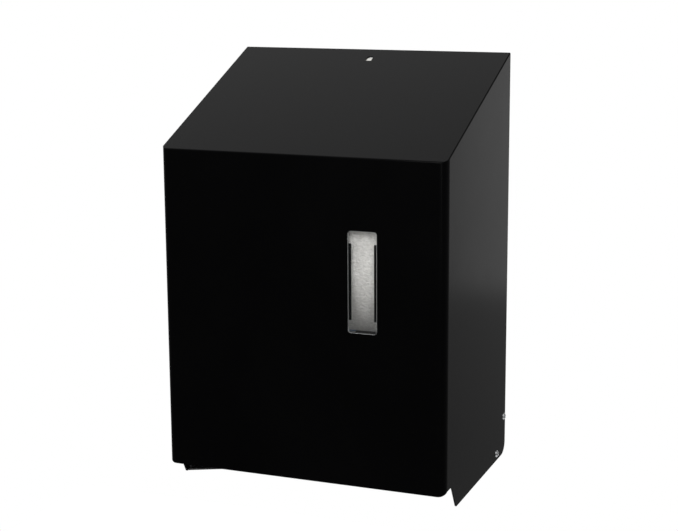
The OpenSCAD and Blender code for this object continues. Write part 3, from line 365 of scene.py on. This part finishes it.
@dataclass(frozen=True)
class RollPaper(Finish):
    """Towel paper: embossed round the roll, and wound layers at its ends, with painted shade in the
    embossing's creases and between the layers.
    """

    crepe: float = 360.0
    crease_range: Pair = (0.3, 0.7)
    layer: float = 0.0011
    stretch: float = 0.7
    fibre_scale: float = 900.0
    fibre_height: float = 0.35
    wobble: float = 0.0004
    skin: float = 0.0006
    crease_shade_range: Pair = (0.2, 1.2)

    def surface(self, graph: Graph, place: bpy.types.NodeSocket) -> tuple[object, object, object]:
        """Draws the embossing on the outside and the layers on the ends, and paints shade where they are low.

        Args:
            graph: The material's tree.
            place: Object coordinates.

        Returns:
            Sockets for colour, roughness and bump height.
        """
        parts = graph.add("ShaderNodeSeparateXYZ", Vector=place)
        across = parts.outputs["X"]
        back = graph.math("SUBTRACT", parts.outputs["Y"], ROLL_MIDDLE.y)
        up = graph.math("SUBTRACT", parts.outputs["Z"], ROLL_MIDDLE.z)
        square = graph.math("ADD", graph.math("MULTIPLY", back, back), graph.math("MULTIPLY", up, up))
        reach = graph.math("SQRT", square)
        round_roll = graph.math("MULTIPLY", graph.math("ARCTAN2", up, back), ROLL_RADIUS)
        stretched = graph.math("MULTIPLY", across, self.stretch)
        unrolled = graph.add("ShaderNodeCombineXYZ", X=stretched, Y=round_roll)
        creases = graph.add("ShaderNodeTexNoise", Vector=unrolled.outputs[0], Scale=self.crepe, Detail=4.0,
                            Roughness=0.62, Distortion=0.5)
        dots = graph.span(creases.outputs["Fac"], *self.crease_range, 0.0, 1.0)
        fibre = graph.add("ShaderNodeTexNoise", Vector=place, Scale=self.fibre_scale, Detail=5.0,
                          Roughness=0.7)
        uneven = graph.math("MULTIPLY", graph.math("SUBTRACT", fibre.outputs["Fac"], 0.5), self.wobble)
        wound = graph.math("MULTIPLY", graph.math("ADD", reach, uneven), 2 * math.pi / self.layer)
        rings = graph.math("SINE", wound)
        outside = graph.math("GREATER_THAN", reach, ROLL_RADIUS - self.skin)
        ends = graph.span(rings, -1.0, 1.0, 0.0, 1.0)
        height = graph.math("ADD", graph.math("MULTIPLY", outside, graph.math("SUBTRACT", dots, ends)), ends)
        height = graph.math("ADD", height, graph.math("MULTIPLY", fibre.outputs["Fac"], self.fibre_height))
        # Painted shade: the colour darkens where the embossing and the wound layers are low; the fibre noise
        # adds a random tone.
        shade = graph.span(height, *self.crease_shade_range, 0.0, 1.0)
        colour = graph.blend(shade, (*self.second, 1.0), (*self.colour, 1.0))
        rough = graph.span(fibre.outputs["Fac"], *self.shade_range, *self.roughness)
        return colour, rough, height


POWDER_BLACK = Finish("satin_black_powder_coat", (0.0006, 0.0006, 0.0007), (0.0014, 0.0014, 0.0015),
                      (0.17, 0.23), grain_scale=900.0, bump=0.12, depth=0.00006, marks=7.0, specular=0.08)
# Its pale colour shows on the dense rim and proud sides as painted highlights.
CLEAR = ClearFace("clear_window_plastic", (0.70, 0.72, 0.72), (0.80, 0.81, 0.81), (0.06, 0.1),
                  grain_scale=300.0, bump=0.02)
ZINC = Finish("zinc_plated_sheet", (0.50, 0.51, 0.52), (0.62, 0.63, 0.63), (0.32, 0.48), metallic=1.0,
              grain=Effect.BRUSHED, grain_scale=900.0, bump=0.08, depth=0.00005, marks=22.0)
BRIGHT = Finish("bright_turned_steel", (0.62, 0.63, 0.64), (0.74, 0.75, 0.76), (0.16, 0.28), metallic=1.0,
                grain_scale=2500.0, bump=0.05, depth=0.00003, marks=60.0)
SPRING_WIRE = Finish("spring_wire", (0.42, 0.42, 0.43), (0.55, 0.55, 0.56), (0.22, 0.34), metallic=1.0,
                     grain_scale=3000.0, bump=0.05, depth=0.00003, marks=90.0)
BLADE = Finish("ground_blade_steel", (0.66, 0.67, 0.68), (0.78, 0.79, 0.80), (0.14, 0.26), metallic=1.0,
               grain=Effect.BRUSHED, grain_scale=2200.0, bump=0.08, depth=0.00003, marks=40.0)
ALUMINIUM = Finish("extruded_aluminium", (0.56, 0.57, 0.58), (0.66, 0.67, 0.68), (0.3, 0.42), metallic=1.0,
                   grain=Effect.BRUSHED, grain_scale=1500.0, bump=0.06, depth=0.00004, marks=30.0)
BRONZE = Finish("sintered_bronze", (0.44, 0.29, 0.12), (0.56, 0.40, 0.19), (0.38, 0.55), metallic=1.0,
                grain_scale=3200.0, bump=0.2, depth=0.00006, marks=80.0)
WHITE_ACETAL = Finish("natural_acetal", (0.72, 0.71, 0.67), (0.80, 0.79, 0.75), (0.36, 0.48),
                      grain_scale=1800.0, bump=0.06, depth=0.00005, marks=30.0)
GREY_MOULDED = Finish("grained_grey_moulding", (0.115, 0.12, 0.125), (0.155, 0.16, 0.165), (0.46, 0.6),
                      grain_scale=1300.0, bump=0.25, depth=0.0001, marks=18.0)
BLACK_MOULDED = Finish("grained_black_moulding", (0.016, 0.016, 0.017), (0.03, 0.03, 0.032), (0.44, 0.6),
                       grain_scale=1300.0, bump=0.25, depth=0.0001, marks=18.0)
BLUE_MOULDED = Finish("blue_moulding", (0.03, 0.105, 0.24), (0.045, 0.14, 0.29), (0.34, 0.5),
                      grain_scale=1500.0, bump=0.12, depth=0.00008, marks=24.0)
RUBBER = Finish("matt_grip_rubber", (0.018, 0.018, 0.019), (0.04, 0.04, 0.04), (0.7, 0.88),
                grain_scale=1100.0, bump=0.5, depth=0.00015, marks=20.0)
# The second colour is the painted shade in the paper's creases and between its wound layers.
TOWEL = RollPaper("creped_towel_paper", (0.86, 0.85, 0.82), (0.62, 0.61, 0.58), (0.8, 0.95),
                  bump=0.9, depth=0.0012)
CARD = Finish("wound_core_board", (0.36, 0.25, 0.15), (0.46, 0.34, 0.21), (0.75, 0.9), grain=Effect.BRUSHED,
              grain_scale=900.0, bump=0.2, depth=0.0001, marks=30.0)


@dataclass
class GrownPiece:
    """A piece that a node tree grows from its named sizes."""

    name: str
    body: str
    slot: str
    finish: Finish

    def sizes(self) -> dict[str, float | int]:
        """Names the tree's inputs and gives their values."""
        raise NotImplementedError

    def grow(self, graph: Graph, size: bpy.types.NodeOutputs) -> bpy.types.NodeSocket:
        """Builds the middle of the tree.

        Args:
            graph: The tree.
            size: Sockets of the named sizes.

        Returns:
            The socket of the finished shape.
        """
        raise NotImplementedError

    def row(self, graph: Graph, shape: bpy.types.NodeSocket, count: bpy.types.NodeSocket,
            pitch: bpy.types.NodeSocket, back: float = 0.0, up: float = 0.0) -> bpy.types.NodeSocket:
        """Repeats a shape along X, with the middle of the row at X = 0.

        Args:
            graph: The tree.
            shape: The socket of the shape.
            count: The socket of how many there are.
            pitch: The socket of the distance between two.
            back: The row's Y.
            up: The row's Z.

        Returns:
            The socket of the row.
        """
        gaps = graph.math("SUBTRACT", count, 1.0)
        first = graph.math("MULTIPLY", gaps, graph.math("MULTIPLY", pitch, -0.5))
        start = graph.add("ShaderNodeCombineXYZ", X=first, Y=back, Z=up)
        step = graph.add("ShaderNodeCombineXYZ", X=pitch)
        points = graph.add("GeometryNodeMeshLine", Count=count, Start_Location=start.outputs[0],
                           Offset=step.outputs[0])
        return graph.add("GeometryNodeInstanceOnPoints", Points=points.outputs[0], Instance=shape).outputs[0]

    def tree(self) -> tuple[bpy.types.NodeTree, dict[str, str]]:
        """Builds the whole tree.

        Returns:
            The tree, and the identifier of each named input.
        """
        tree = bpy.data.node_groups.new(self.name, "GeometryNodeTree")
        marks = {}
        for name, value in self.sizes().items():
            kind = "NodeSocketInt" if isinstance(value, int) else "NodeSocketFloat"
            marks[name] = tree.interface.new_socket(name, in_out="INPUT", socket_type=kind).identifier
        finish = tree.interface.new_socket("Finish", in_out="INPUT", socket_type="NodeSocketMaterial")
        marks["Finish"] = finish.identifier
        tree.interface.new_socket("Shape", in_out="OUTPUT", socket_type="NodeSocketGeometry")
        graph = Graph(tree)
        source = graph.add("NodeGroupInput")
        real = graph.add("GeometryNodeRealizeInstances", Geometry=self.grow(graph, source.outputs))
        dressed = graph.add("GeometryNodeSetMaterial", Geometry=real.outputs[0],
                            Material=source.outputs["Finish"])
        graph.feed(graph.add("NodeGroupOutput").inputs["Shape"], dressed.outputs[0])
        return tree, marks

    def make(self) -> bpy.types.Object:
        """Grows the piece, makes it a plain mesh and joins it to its body.

        Returns:
            The piece.
        """
        tree, marks = self.tree()
        piece = bpy.data.objects.new(self.name, bpy.data.meshes.new(self.name + "_seed"))
        bpy.context.scene.collection.objects.link(piece)
        modifier = piece.modifiers.new("grow", "NODES")
        modifier.node_group = tree
        for name, value in (self.sizes() | {"Finish": self.finish.make()}).items():
            modifier[marks[name]] = value
        view = bpy.context.evaluated_depsgraph_get()
        mesh = bpy.data.meshes.new_from_object(piece.evaluated_get(view), depsgraph=view)
        piece.modifiers.remove(modifier)
        mesh.shade_smooth()
        piece.data = mesh
        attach(piece, self.body)
        LOG.info("%s: %d faces on %s", self.name, len(mesh.polygons), self.body)
        return piece


@dataclass
class WoundEdges(GrownPiece):
    """The spiral edge of the paper on both ends of the roll."""

    outer: float
    half_width: float
    inner: float = 0.0285
    edge: float = 0.00022
    turns: float = 28.0
    turn_points: int = 56
    edge_points: int = 5

    def sizes(self) -> dict[str, float | int]:
        """Names the tree's inputs and gives their values."""
        return {"Inner radius": self.inner, "Outer radius": self.outer, "Half width": self.half_width,
                "Edge radius": self.edge, "Turns": self.turns}

    def grow(self, graph: Graph, size: bpy.types.NodeOutputs) -> bpy.types.NodeSocket:
        """Winds one spiral and stands it on each end of the roll.

        Args:
            graph: The tree.
            size: Sockets of the named sizes.

        Returns:
            The socket of both spirals.
        """
        spiral = graph.add("GeometryNodeCurveSpiral", Resolution=self.turn_points, Rotations=size["Turns"],
                           Height=0.0, Start_Radius=size["Inner radius"], End_Radius=size["Outer radius"])
        section = graph.add("GeometryNodeCurvePrimitiveCircle", Resolution=self.edge_points,
                            Radius=size["Edge radius"])
        wound = graph.add("GeometryNodeCurveToMesh", Curve=spiral.outputs[0],
                          Profile_Curve=section.outputs[0], Fill_Caps=True)
        both = graph.add("GeometryNodeJoinGeometry")
        for side in (-1.0, 1.0):
            place = graph.add("ShaderNodeCombineXYZ", X=graph.math("MULTIPLY", size["Half width"], side),
                              Y=ROLL_MIDDLE.y, Z=ROLL_MIDDLE.z)
            end = graph.add("GeometryNodeTransform", Geometry=wound.outputs[0], Translation=place.outputs[0],
                            Rotation=(0.0, math.pi / 2, 0.0))
            graph.feed(both.inputs[0], end.outputs[0])
        return both.outputs[0]


@dataclass
class ChuteRibs(GrownPiece):
    """Raised ribs along the chute, on which the paper slides."""

    count: int
    spacing: float
    radius: float = 0.0008
    edge_points: int = 10
    guide_radius: float = 0.0425
    leave_angle: float = -65.0
    start: float = 0.006
    stop: float = 0.074

    def sizes(self) -> dict[str, float | int]:
        """Names the tree's inputs and gives their values."""
        return {"Ribs": self.count, "Spacing": self.spacing, "Rib radius": self.radius}

    def on_chute(self, along: float) -> Vec3:
        """Finds a point on the chute's upper face.

        Args:
            along: Distance from where the chute leaves the drum's guide.

        Returns:
            The point at the middle of the chute's width.
        """
        angle = math.radians(self.leave_angle)
        back = DRUM_MIDDLE.y + self.guide_radius * math.cos(angle) + along * math.sin(angle)
        up = DRUM_MIDDLE.z + self.guide_radius * math.sin(angle) - along * math.cos(angle)
        return (0.0, back, up)

    def grow(self, graph: Graph, size: bpy.types.NodeOutputs) -> bpy.types.NodeSocket:
        """Repeats one rib across the chute.

        Args:
            graph: The tree.
            size: Sockets of the named sizes.

        Returns:
            The socket of the row of ribs.
        """
        run = graph.add("GeometryNodeCurvePrimitiveLine", Start=self.on_chute(self.start),
                        End=self.on_chute(self.stop))
        section = graph.add("GeometryNodeCurvePrimitiveCircle", Resolution=self.edge_points,
                            Radius=size["Rib radius"])
        rib = graph.add("GeometryNodeCurveToMesh", Curve=run.outputs[0], Profile_Curve=section.outputs[0],
                        Fill_Caps=True)
        return self.row(graph, rib.outputs[0], size["Ribs"], size["Spacing"])


@dataclass
class SpotWelds(GrownPiece):
    """A row of spot welds that hold the strike to the inside of the slope."""

    place: Pair
    slope: float
    count: int = 3
    pitch: float = 0.009
    radius: float = 0.0024
    rise: float = 0.00024

    def sizes(self) -> dict[str, float | int]:
        """Names the tree's inputs and gives their values."""
        return {"Welds": self.count, "Pitch": self.pitch, "Weld radius": self.radius, "Rise": self.rise}

    def grow(self, graph: Graph, size: bpy.types.NodeOutputs) -> bpy.types.NodeSocket:
        """Repeats one flat dome along the strike.

        Args:
            graph: The tree.
            size: Sockets of the named sizes.

        Returns:
            The socket of the row of welds.
        """
        ball = graph.add("GeometryNodeMeshUVSphere", Segments=20, Rings=10, Radius=size["Weld radius"])
        flat = graph.math("DIVIDE", size["Rise"], size["Weld radius"])
        dome = graph.add("GeometryNodeTransform", Geometry=ball.outputs[0],
                         Scale=graph.add("ShaderNodeCombineXYZ", X=1.0, Y=1.0, Z=flat).outputs[0])
        leant = graph.add("GeometryNodeTransform", Geometry=dome.outputs[0],
                          Rotation=(math.radians(self.slope), 0.0, 0.0))
        return self.row(graph, leant.outputs[0], size["Welds"], size["Pitch"], *self.place)


@dataclass
class MovingSpring:
    """A spring copied from its imported node as one joined mesh in the node's place."""

    name: str
    node: str
    slot: str
    finish: Finish
    cut: float = 0.000001

    def copy(self, side: float = 0.0, rings: tuple[Vector, ...] = ()) -> bpy.types.Object:
        """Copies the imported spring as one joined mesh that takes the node's place.

        Args:
            side: Sign of X of the half to keep, or 0 for all of it.
            rings: Points, in order along a straight part, where the wire gets another ring.

        Returns:
            The copy.
        """
        shape = bmesh.new()
        shape.from_mesh(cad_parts[self.node].data)
        bmesh.ops.delete(shape, geom=[v for v in shape.verts if v.co.x * side < 0], context="VERTS")
        bmesh.ops.remove_doubles(shape, verts=shape.verts, dist=SAME_POINT)
        for ring in rings:
            whole = shape.verts[:] + shape.edges[:] + shape.faces[:]
            bmesh.ops.bisect_plane(shape, geom=whole, dist=self.cut, plane_co=ring,
                                   plane_no=rings[-1] - rings[0])
        mesh = bpy.data.meshes.new(self.name)
        shape.to_mesh(mesh)
        shape.free()
        mesh.shade_smooth()
        mesh.materials.clear()
        mesh.materials.append(self.finish.make())
        piece = bpy.data.objects.new(self.name, mesh)
        bpy.context.scene.collection.objects.link(piece)
        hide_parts(self.node)
        LOG.info("%s: %d faces for %s", self.name, len(mesh.polygons), self.node)
        return piece

    def twist(self, start: Vec3, end: Vec3, side: float = 0.0,
              rings: int = 0) -> None:
        """Copies the spring with extra rings between two points, and bakes its place into the mesh.

        Args:
            start: The point where it leaves the first body.
            end: The point where it meets the other.
            side: Sign of X of the half to keep, or 0 for all of it.
            rings: How many rings the wire gets between the two points, for a wide turn.
        """
        places = tuple(Vector(start).lerp(Vector(end), (i + 1) / (rings + 1)) for i in range(rings))
        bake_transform(self.copy(side, places))

    def press(self, body: str) -> None:
        """Joins the spring's copy to the body that it stands on.

        Args:
            body: The body that it stands on.
        """
        piece = self.copy()
        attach(piece, body)
        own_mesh(piece)


@dataclass
class SubAssembly:
    """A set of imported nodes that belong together, each with its finish."""

    soft_edge: float = 0.0003
    edge_segments: int = 2
    flat_angle: float = 0.5
    edge_angle: float = 40.0
    crisp_angle: float = 50.0

    def finishes(self) -> dict[str, Finish]:
        """Gives the finish of each node."""
        raise NotImplementedError

    def build(self) -> None:
        """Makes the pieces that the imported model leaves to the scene."""

    def dress(self) -> None:
        """Gives every node its finish and a small rounding on its edges."""
        for name, finish in self.finishes().items():
            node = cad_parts[name]
            node.data.materials.clear()
            node.data.materials.append(finish.make())
            self.soften(node)
            LOG.info("%s: %s", name, finish.name)

    def soften(self, node: bpy.types.Object) -> None:
        """Joins a node's loose triangles, rounds its edges and shades its bends with live modifiers.

        Args:
            node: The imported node's object.
        """
        weld = node.modifiers.new("join", "WELD")
        weld.merge_threshold = SAME_POINT
        flat = node.modifiers.new("flatten", "DECIMATE")
        flat.decimate_type = "DISSOLVE"
        flat.angle_limit = math.radians(self.flat_angle)
        edge = node.modifiers.new("edge", "BEVEL")
        edge.width = self.soft_edge
        edge.segments = self.edge_segments
        edge.limit_method = "ANGLE"
        edge.angle_limit = math.radians(self.edge_angle)
        crisp = node.modifiers.new("crisp", "EDGE_SPLIT")
        crisp.split_angle = math.radians(self.crisp_angle)
        shade = node.modifiers.new("shade", "WEIGHTED_NORMAL")
        shade.mode = "FACE_AREA"


@dataclass
class Hood(SubAssembly):
    """Folded hood with its window, hinge plates, side screws and welded strike."""

    slope: float = 23.0
    strike_thickness: float = 0.002
    weld_behind: float = 0.011

    def finishes(self) -> dict[str, Finish]:
        """Gives the finish of each node."""
        return {"hood": POWDER_BLACK, "window": CLEAR, "left_hinge_plate": ZINC, "right_hinge_plate": ZINC,
                "hinge_screws": BRIGHT, "strike_plate": ZINC}

    def build(self) -> None:
        """Welds the strike to the slope."""
        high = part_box("strike_plate")[1]
        lean = math.radians(self.slope)
        fall = self.weld_behind * math.tan(lean) + self.strike_thickness / math.cos(lean)
        place = (high[1] - self.weld_behind, high[2] - fall)
        SpotWelds("strike_welds", "hood", "zinc", ZINC, place=place, slope=self.slope).make()


@dataclass
class WallMount(SubAssembly):
    """Wall plate with its hinge pins and the sprung latch."""

    soft_edge: float = 0.0002
    spring_keep: float = 0.58

    def finishes(self) -> dict[str, Finish]:
        """Gives the finish of each node."""
        return {"wall_plate": ZINC, "hinge_pins": BRIGHT, "latch_bracket": ZINC, "latch_lever": WHITE_ACETAL,
                "latch_pin": BRIGHT, "chassis_screws": BRIGHT}

    def build(self) -> None:
        """Stands the latch's spring under its lever."""
        MovingSpring("latch_coil", "latch_spring", "spring_steel", SPRING_WIRE).press(
            "chassis")


@dataclass
class RollHolder(SubAssembly):
    """Two sprung arms with hubs, and the roll between them."""

    edge_inset: float = 0.0006

    def finishes(self) -> dict[str, Finish]:
        """Gives the finish of each node."""
        return {"left_arm_bracket": ZINC, "right_arm_bracket": ZINC, "arm_pins": BRIGHT,
                "left_roll_arm": GREY_MOULDED, "right_roll_arm": GREY_MOULDED, "left_hub": WHITE_ACETAL,
                "right_hub": WHITE_ACETAL, "towel_roll": TOWEL, "roll_core": CARD}

    def build(self) -> None:
        """Winds the paper's edge on both ends of the roll, and fits the arms' springs."""
        WoundEdges("wound_paper_edges", "towel_roll", "towel", TOWEL,
                   outer=ROLL_RADIUS - self.edge_inset, half_width=ROLL_HALF_WIDTH).make()
        for side in ("left", "right"):
            low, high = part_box(f"{side}_arm_spring")
            MovingSpring(f"{side}_arm_coil", f"{side}_arm_spring", "spring_steel", SPRING_WIRE).twist(
                tuple(low), (low[0], low[1], high[2]))


@dataclass
class DrumCradle(SubAssembly):
    """Cheeks, guides and guard that carry the drum."""

    rib_count: int = 9
    rib_spacing: float = 0.022
    spring_bend: Pair = (0.0204, 0.0172)
    leg_rings: int = 30

    def finishes(self) -> dict[str, Finish]:
        """Gives the finish of each node."""
        return {"left_cheek": GREY_MOULDED, "right_cheek": GREY_MOULDED, "wheel_guard": BLACK_MOULDED,
                "drum_bushes": BRONZE, "rear_guide": ZINC, "front_guide": ZINC, "spring_post": BRIGHT,
                "sun_gear": WHITE_ACETAL}

    def build(self) -> None:
        """Raises the ribs on the chute, and copies the return spring with extra rings along its turn."""
        ChuteRibs("chute_ribs", "chassis", "zinc", ZINC, count=self.rib_count,
                  spacing=self.rib_spacing).make()
        start, end = ((0.0, DRUM_MIDDLE.y + behind, DRUM_MIDDLE.z) for behind in self.spring_bend)
        MovingSpring("return_coil", "return_spring", "spring_steel", SPRING_WIRE).twist(
            start, end, rings=self.leg_rings)


@dataclass
class FeedDrum(SubAssembly):
    """Split drum with its caps, axles, grip bands, feed wheel and crank."""

    soft_edge: float = 0.0002

    def finishes(self) -> dict[str, Finish]:
        """Gives the finish of each node."""
        return {"drum_upper_shell": BLACK_MOULDED, "drum_lower_shell": BLACK_MOULDED,
                "left_drum_cap": GREY_MOULDED, "right_drum_cap": GREY_MOULDED, "drum_axles": BRIGHT,
                "grip_bands": RUBBER, "feed_wheel": BLUE_MOULDED, "crank_disc": GREY_MOULDED}


@dataclass
class RotaryKnife(SubAssembly):
    """Toothed knife that turns inside the drum on a gear."""

    soft_edge: float = 0.0001

    def finishes(self) -> dict[str, Finish]:
        """Gives the finish of each node."""
        return {"knife_shaft": BRIGHT, "knife_carrier": ALUMINIUM, "knife_blade": BLADE,
                "blade_screws": BRIGHT, "planet_gear": WHITE_ACETAL}


@dataclass
class PressureRoller(SubAssembly):
    """Sprung yoke with its shaft and rubber sleeves."""

    coil_length: float = 0.011

    def finishes(self) -> dict[str, Finish]:
        """Gives the finish of each node."""
        return {"pressure_yoke": BLUE_MOULDED, "pressure_shaft": BRIGHT, "pressure_sleeves": RUBBER}

    def build(self) -> None:
        """Winds a spring on the yoke's axis by each ear."""
        low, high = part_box("yoke_springs")
        for name, side in (("left", -1.0), ("right", 1.0)):
            outer = high[0] * side
            inner = outer - self.coil_length * side
            MovingSpring(f"{name}_yoke_coil", "yoke_springs", "spring_steel", SPRING_WIRE).twist(
                (inner, low[1], low[2]), (outer, low[1], low[2]), side)


@dataclass
class Stage:
    """Floor, light and background."""

    floor_up: float = -0.56
    floor_reach: Pair = (-0.75, 0.6)
    floor_white: float = 0.85
    floor_glow: float = 0.96
    fill: float = 0.42
    behind: Ramp = (-0.5, 0.3, 0.4, 1.0)
    above: Ramp = (-0.32, 0.6, 0.16, 0.75)
    dark_corner: Vec3 = (0.54, 0.55, 0.63)
    corner_gap: Ramp = (0.80, 0.92, 1.0, 0.15)

    def build(self) -> None:
        """Makes the floor, the world and the lamps."""
        self.floor()
        self.world()
        self.lamp("overhead_softbox", place=(0.62, -0.72, 1.9), target=(0.1, -0.2, 0.1), size=0.7, power=14.0)
        self.lamp("front_softbox", place=(0.55, -1.75, 0.8), target=(0.065, -0.2, 0.02), size=1.0, power=22.0)
        self.lamp("rear_right_card", place=(0.3, 1.62, 0.05), target=(0.1, -0.1, 0.1), size=0.9, power=0.75)

    def floor(self) -> None:
        """Lays a plain pale floor."""
        near, far = self.floor_reach
        mesh = bpy.data.meshes.new("floor")
        mesh.from_pydata([(near, near, self.floor_up), (far, near, self.floor_up),
                          (far, far, self.floor_up), (near, far, self.floor_up)], [], [(0, 1, 2, 3)])
        obj = bpy.data.objects.new("floor", mesh)
        bpy.context.scene.collection.objects.link(obj)
        material = bpy.data.materials.new("pale_floor")
        material.use_nodes = True
        material.node_tree.nodes.clear()
        graph = Graph(material.node_tree)
        matt = graph.add("ShaderNodeBsdfDiffuse", Color=(*[self.floor_white] * 3, 1.0))
        glow = graph.add("ShaderNodeEmission", Color=WHITE, Strength=self.floor_glow)
        seen = graph.add("ShaderNodeLightPath").outputs["Is Camera Ray"]
        lit = graph.add("ShaderNodeAddShader")
        graph.feed(lit.inputs[0], matt.outputs[0])
        graph.feed(lit.inputs[1], glow.outputs[0])
        mix = graph.add("ShaderNodeMixShader", Fac=seen)
        graph.feed(mix.inputs[1], matt.outputs[0])
        graph.feed(mix.inputs[2], lit.outputs[0])
        graph.feed(graph.add("ShaderNodeOutputMaterial").inputs["Surface"], mix.outputs[0])
        mesh.materials.append(material)

    def world(self) -> None:
        """Makes a white background for the camera, with a darker room for reflections."""
        world = bpy.data.worlds.new("studio")
        bpy.context.scene.world = world
        world.use_nodes = True
        world.node_tree.nodes.clear()
        graph = Graph(world.node_tree)
        rays = graph.add("ShaderNodeLightPath")
        toward = graph.add("ShaderNodeTexCoord").outputs["Generated"]
        parts = graph.add("ShaderNodeSeparateXYZ", Vector=toward)
        behind = graph.span(parts.outputs["Y"], *self.behind)
        above = graph.span(parts.outputs["Z"], *self.above)
        white = graph.math("MAXIMUM", rays.outputs["Is Camera Ray"], rays.outputs["Is Transmission Ray"])
        soft = graph.span(rays.outputs["Is Glossy Ray"], 0.0, 1.0, self.fill, 0.0)
        corner = graph.add("ShaderNodeVectorMath", {"operation": "DOT_PRODUCT"})
        graph.feed(corner.inputs[0], toward)
        graph.feed(corner.inputs[1], self.dark_corner)
        gap = graph.span(corner.outputs["Value"], *self.corner_gap)
        room = graph.math("MULTIPLY", graph.math("MULTIPLY", behind, above), gap)
        mirrored = graph.math("MULTIPLY", rays.outputs["Is Glossy Ray"], room)
        level = graph.math("MAXIMUM", white, graph.math("ADD", soft, mirrored))
        sky = graph.add("ShaderNodeBackground", Color=WHITE, Strength=level)
        graph.feed(graph.add("ShaderNodeOutputWorld").inputs["Surface"], sky.outputs[0])

    def lamp(self, name: str, place: Vec3, target: Vec3, size: float, power: float) -> None:
        """Hangs a square soft lamp.

        Args:
            name: The lamp's name.
            place: Where it hangs.
            target: The point it faces.
            size: Length of its side.
            power: Its power in watts.
        """
        light = bpy.data.lights.new(name, "AREA")
        light.size = size
        light.energy = power
        lamp = bpy.data.objects.new(name, light)
        lamp.location = place
        lamp.visible_camera = False
        lamp.rotation_euler = (Vector(target) - Vector(place)).to_track_quat("-Z", "Y").to_euler()
        bpy.context.scene.collection.objects.link(lamp)


@dataclass
class PhotoCamera:
    """The camera at the photograph's viewing angle."""

    place: Vec3 = (0.61060, -1.60274, 0.34879)
    yaw: float = 22.181
    pitch: float = 11.826
    roll: float = -0.383
    lens: float = 84.96
    sensor: float = 36.0

    def build(self) -> None:
        """Makes the camera and hands it to the scene."""
        yaw, pitch, roll = (math.radians(a) for a in (self.yaw, self.pitch, self.roll))
        level = math.cos(pitch)
        ahead = Vector((-math.sin(yaw) * level, math.cos(yaw) * level, -math.sin(pitch)))
        right = Vector((math.cos(yaw), math.sin(yaw), 0.0))
        up = right.cross(ahead)
        tilted = math.cos(roll) * right + math.sin(roll) * up
        lifted = math.cos(roll) * up - math.sin(roll) * right
        data = bpy.data.cameras.new("photo_camera")
        data.lens = self.lens
        data.sensor_width = self.sensor
        data.sensor_fit = "HORIZONTAL"
        camera = bpy.data.objects.new("photo_camera", data)
        turn = Matrix((tilted, lifted, -ahead)).transposed().to_4x4()
        camera.matrix_world = Matrix.Translation(self.place) @ turn
        bpy.context.scene.collection.objects.link(camera)
        bpy.context.scene.camera = camera


def main() -> None:
    """Builds the camera, the stage and every sub-assembly."""
    logging.basicConfig(level=logging.INFO, format="%(message)s")
    bpy.context.scene.view_settings.view_transform = "Standard"
    PhotoCamera().build()
    Stage().build()
    for kind in (Hood, WallMount, RollHolder, DrumCradle, FeedDrum, RotaryKnife, PressureRoller):
        part = kind()
        part.dress()
        part.build()


if __name__ == "__main__":
    main()
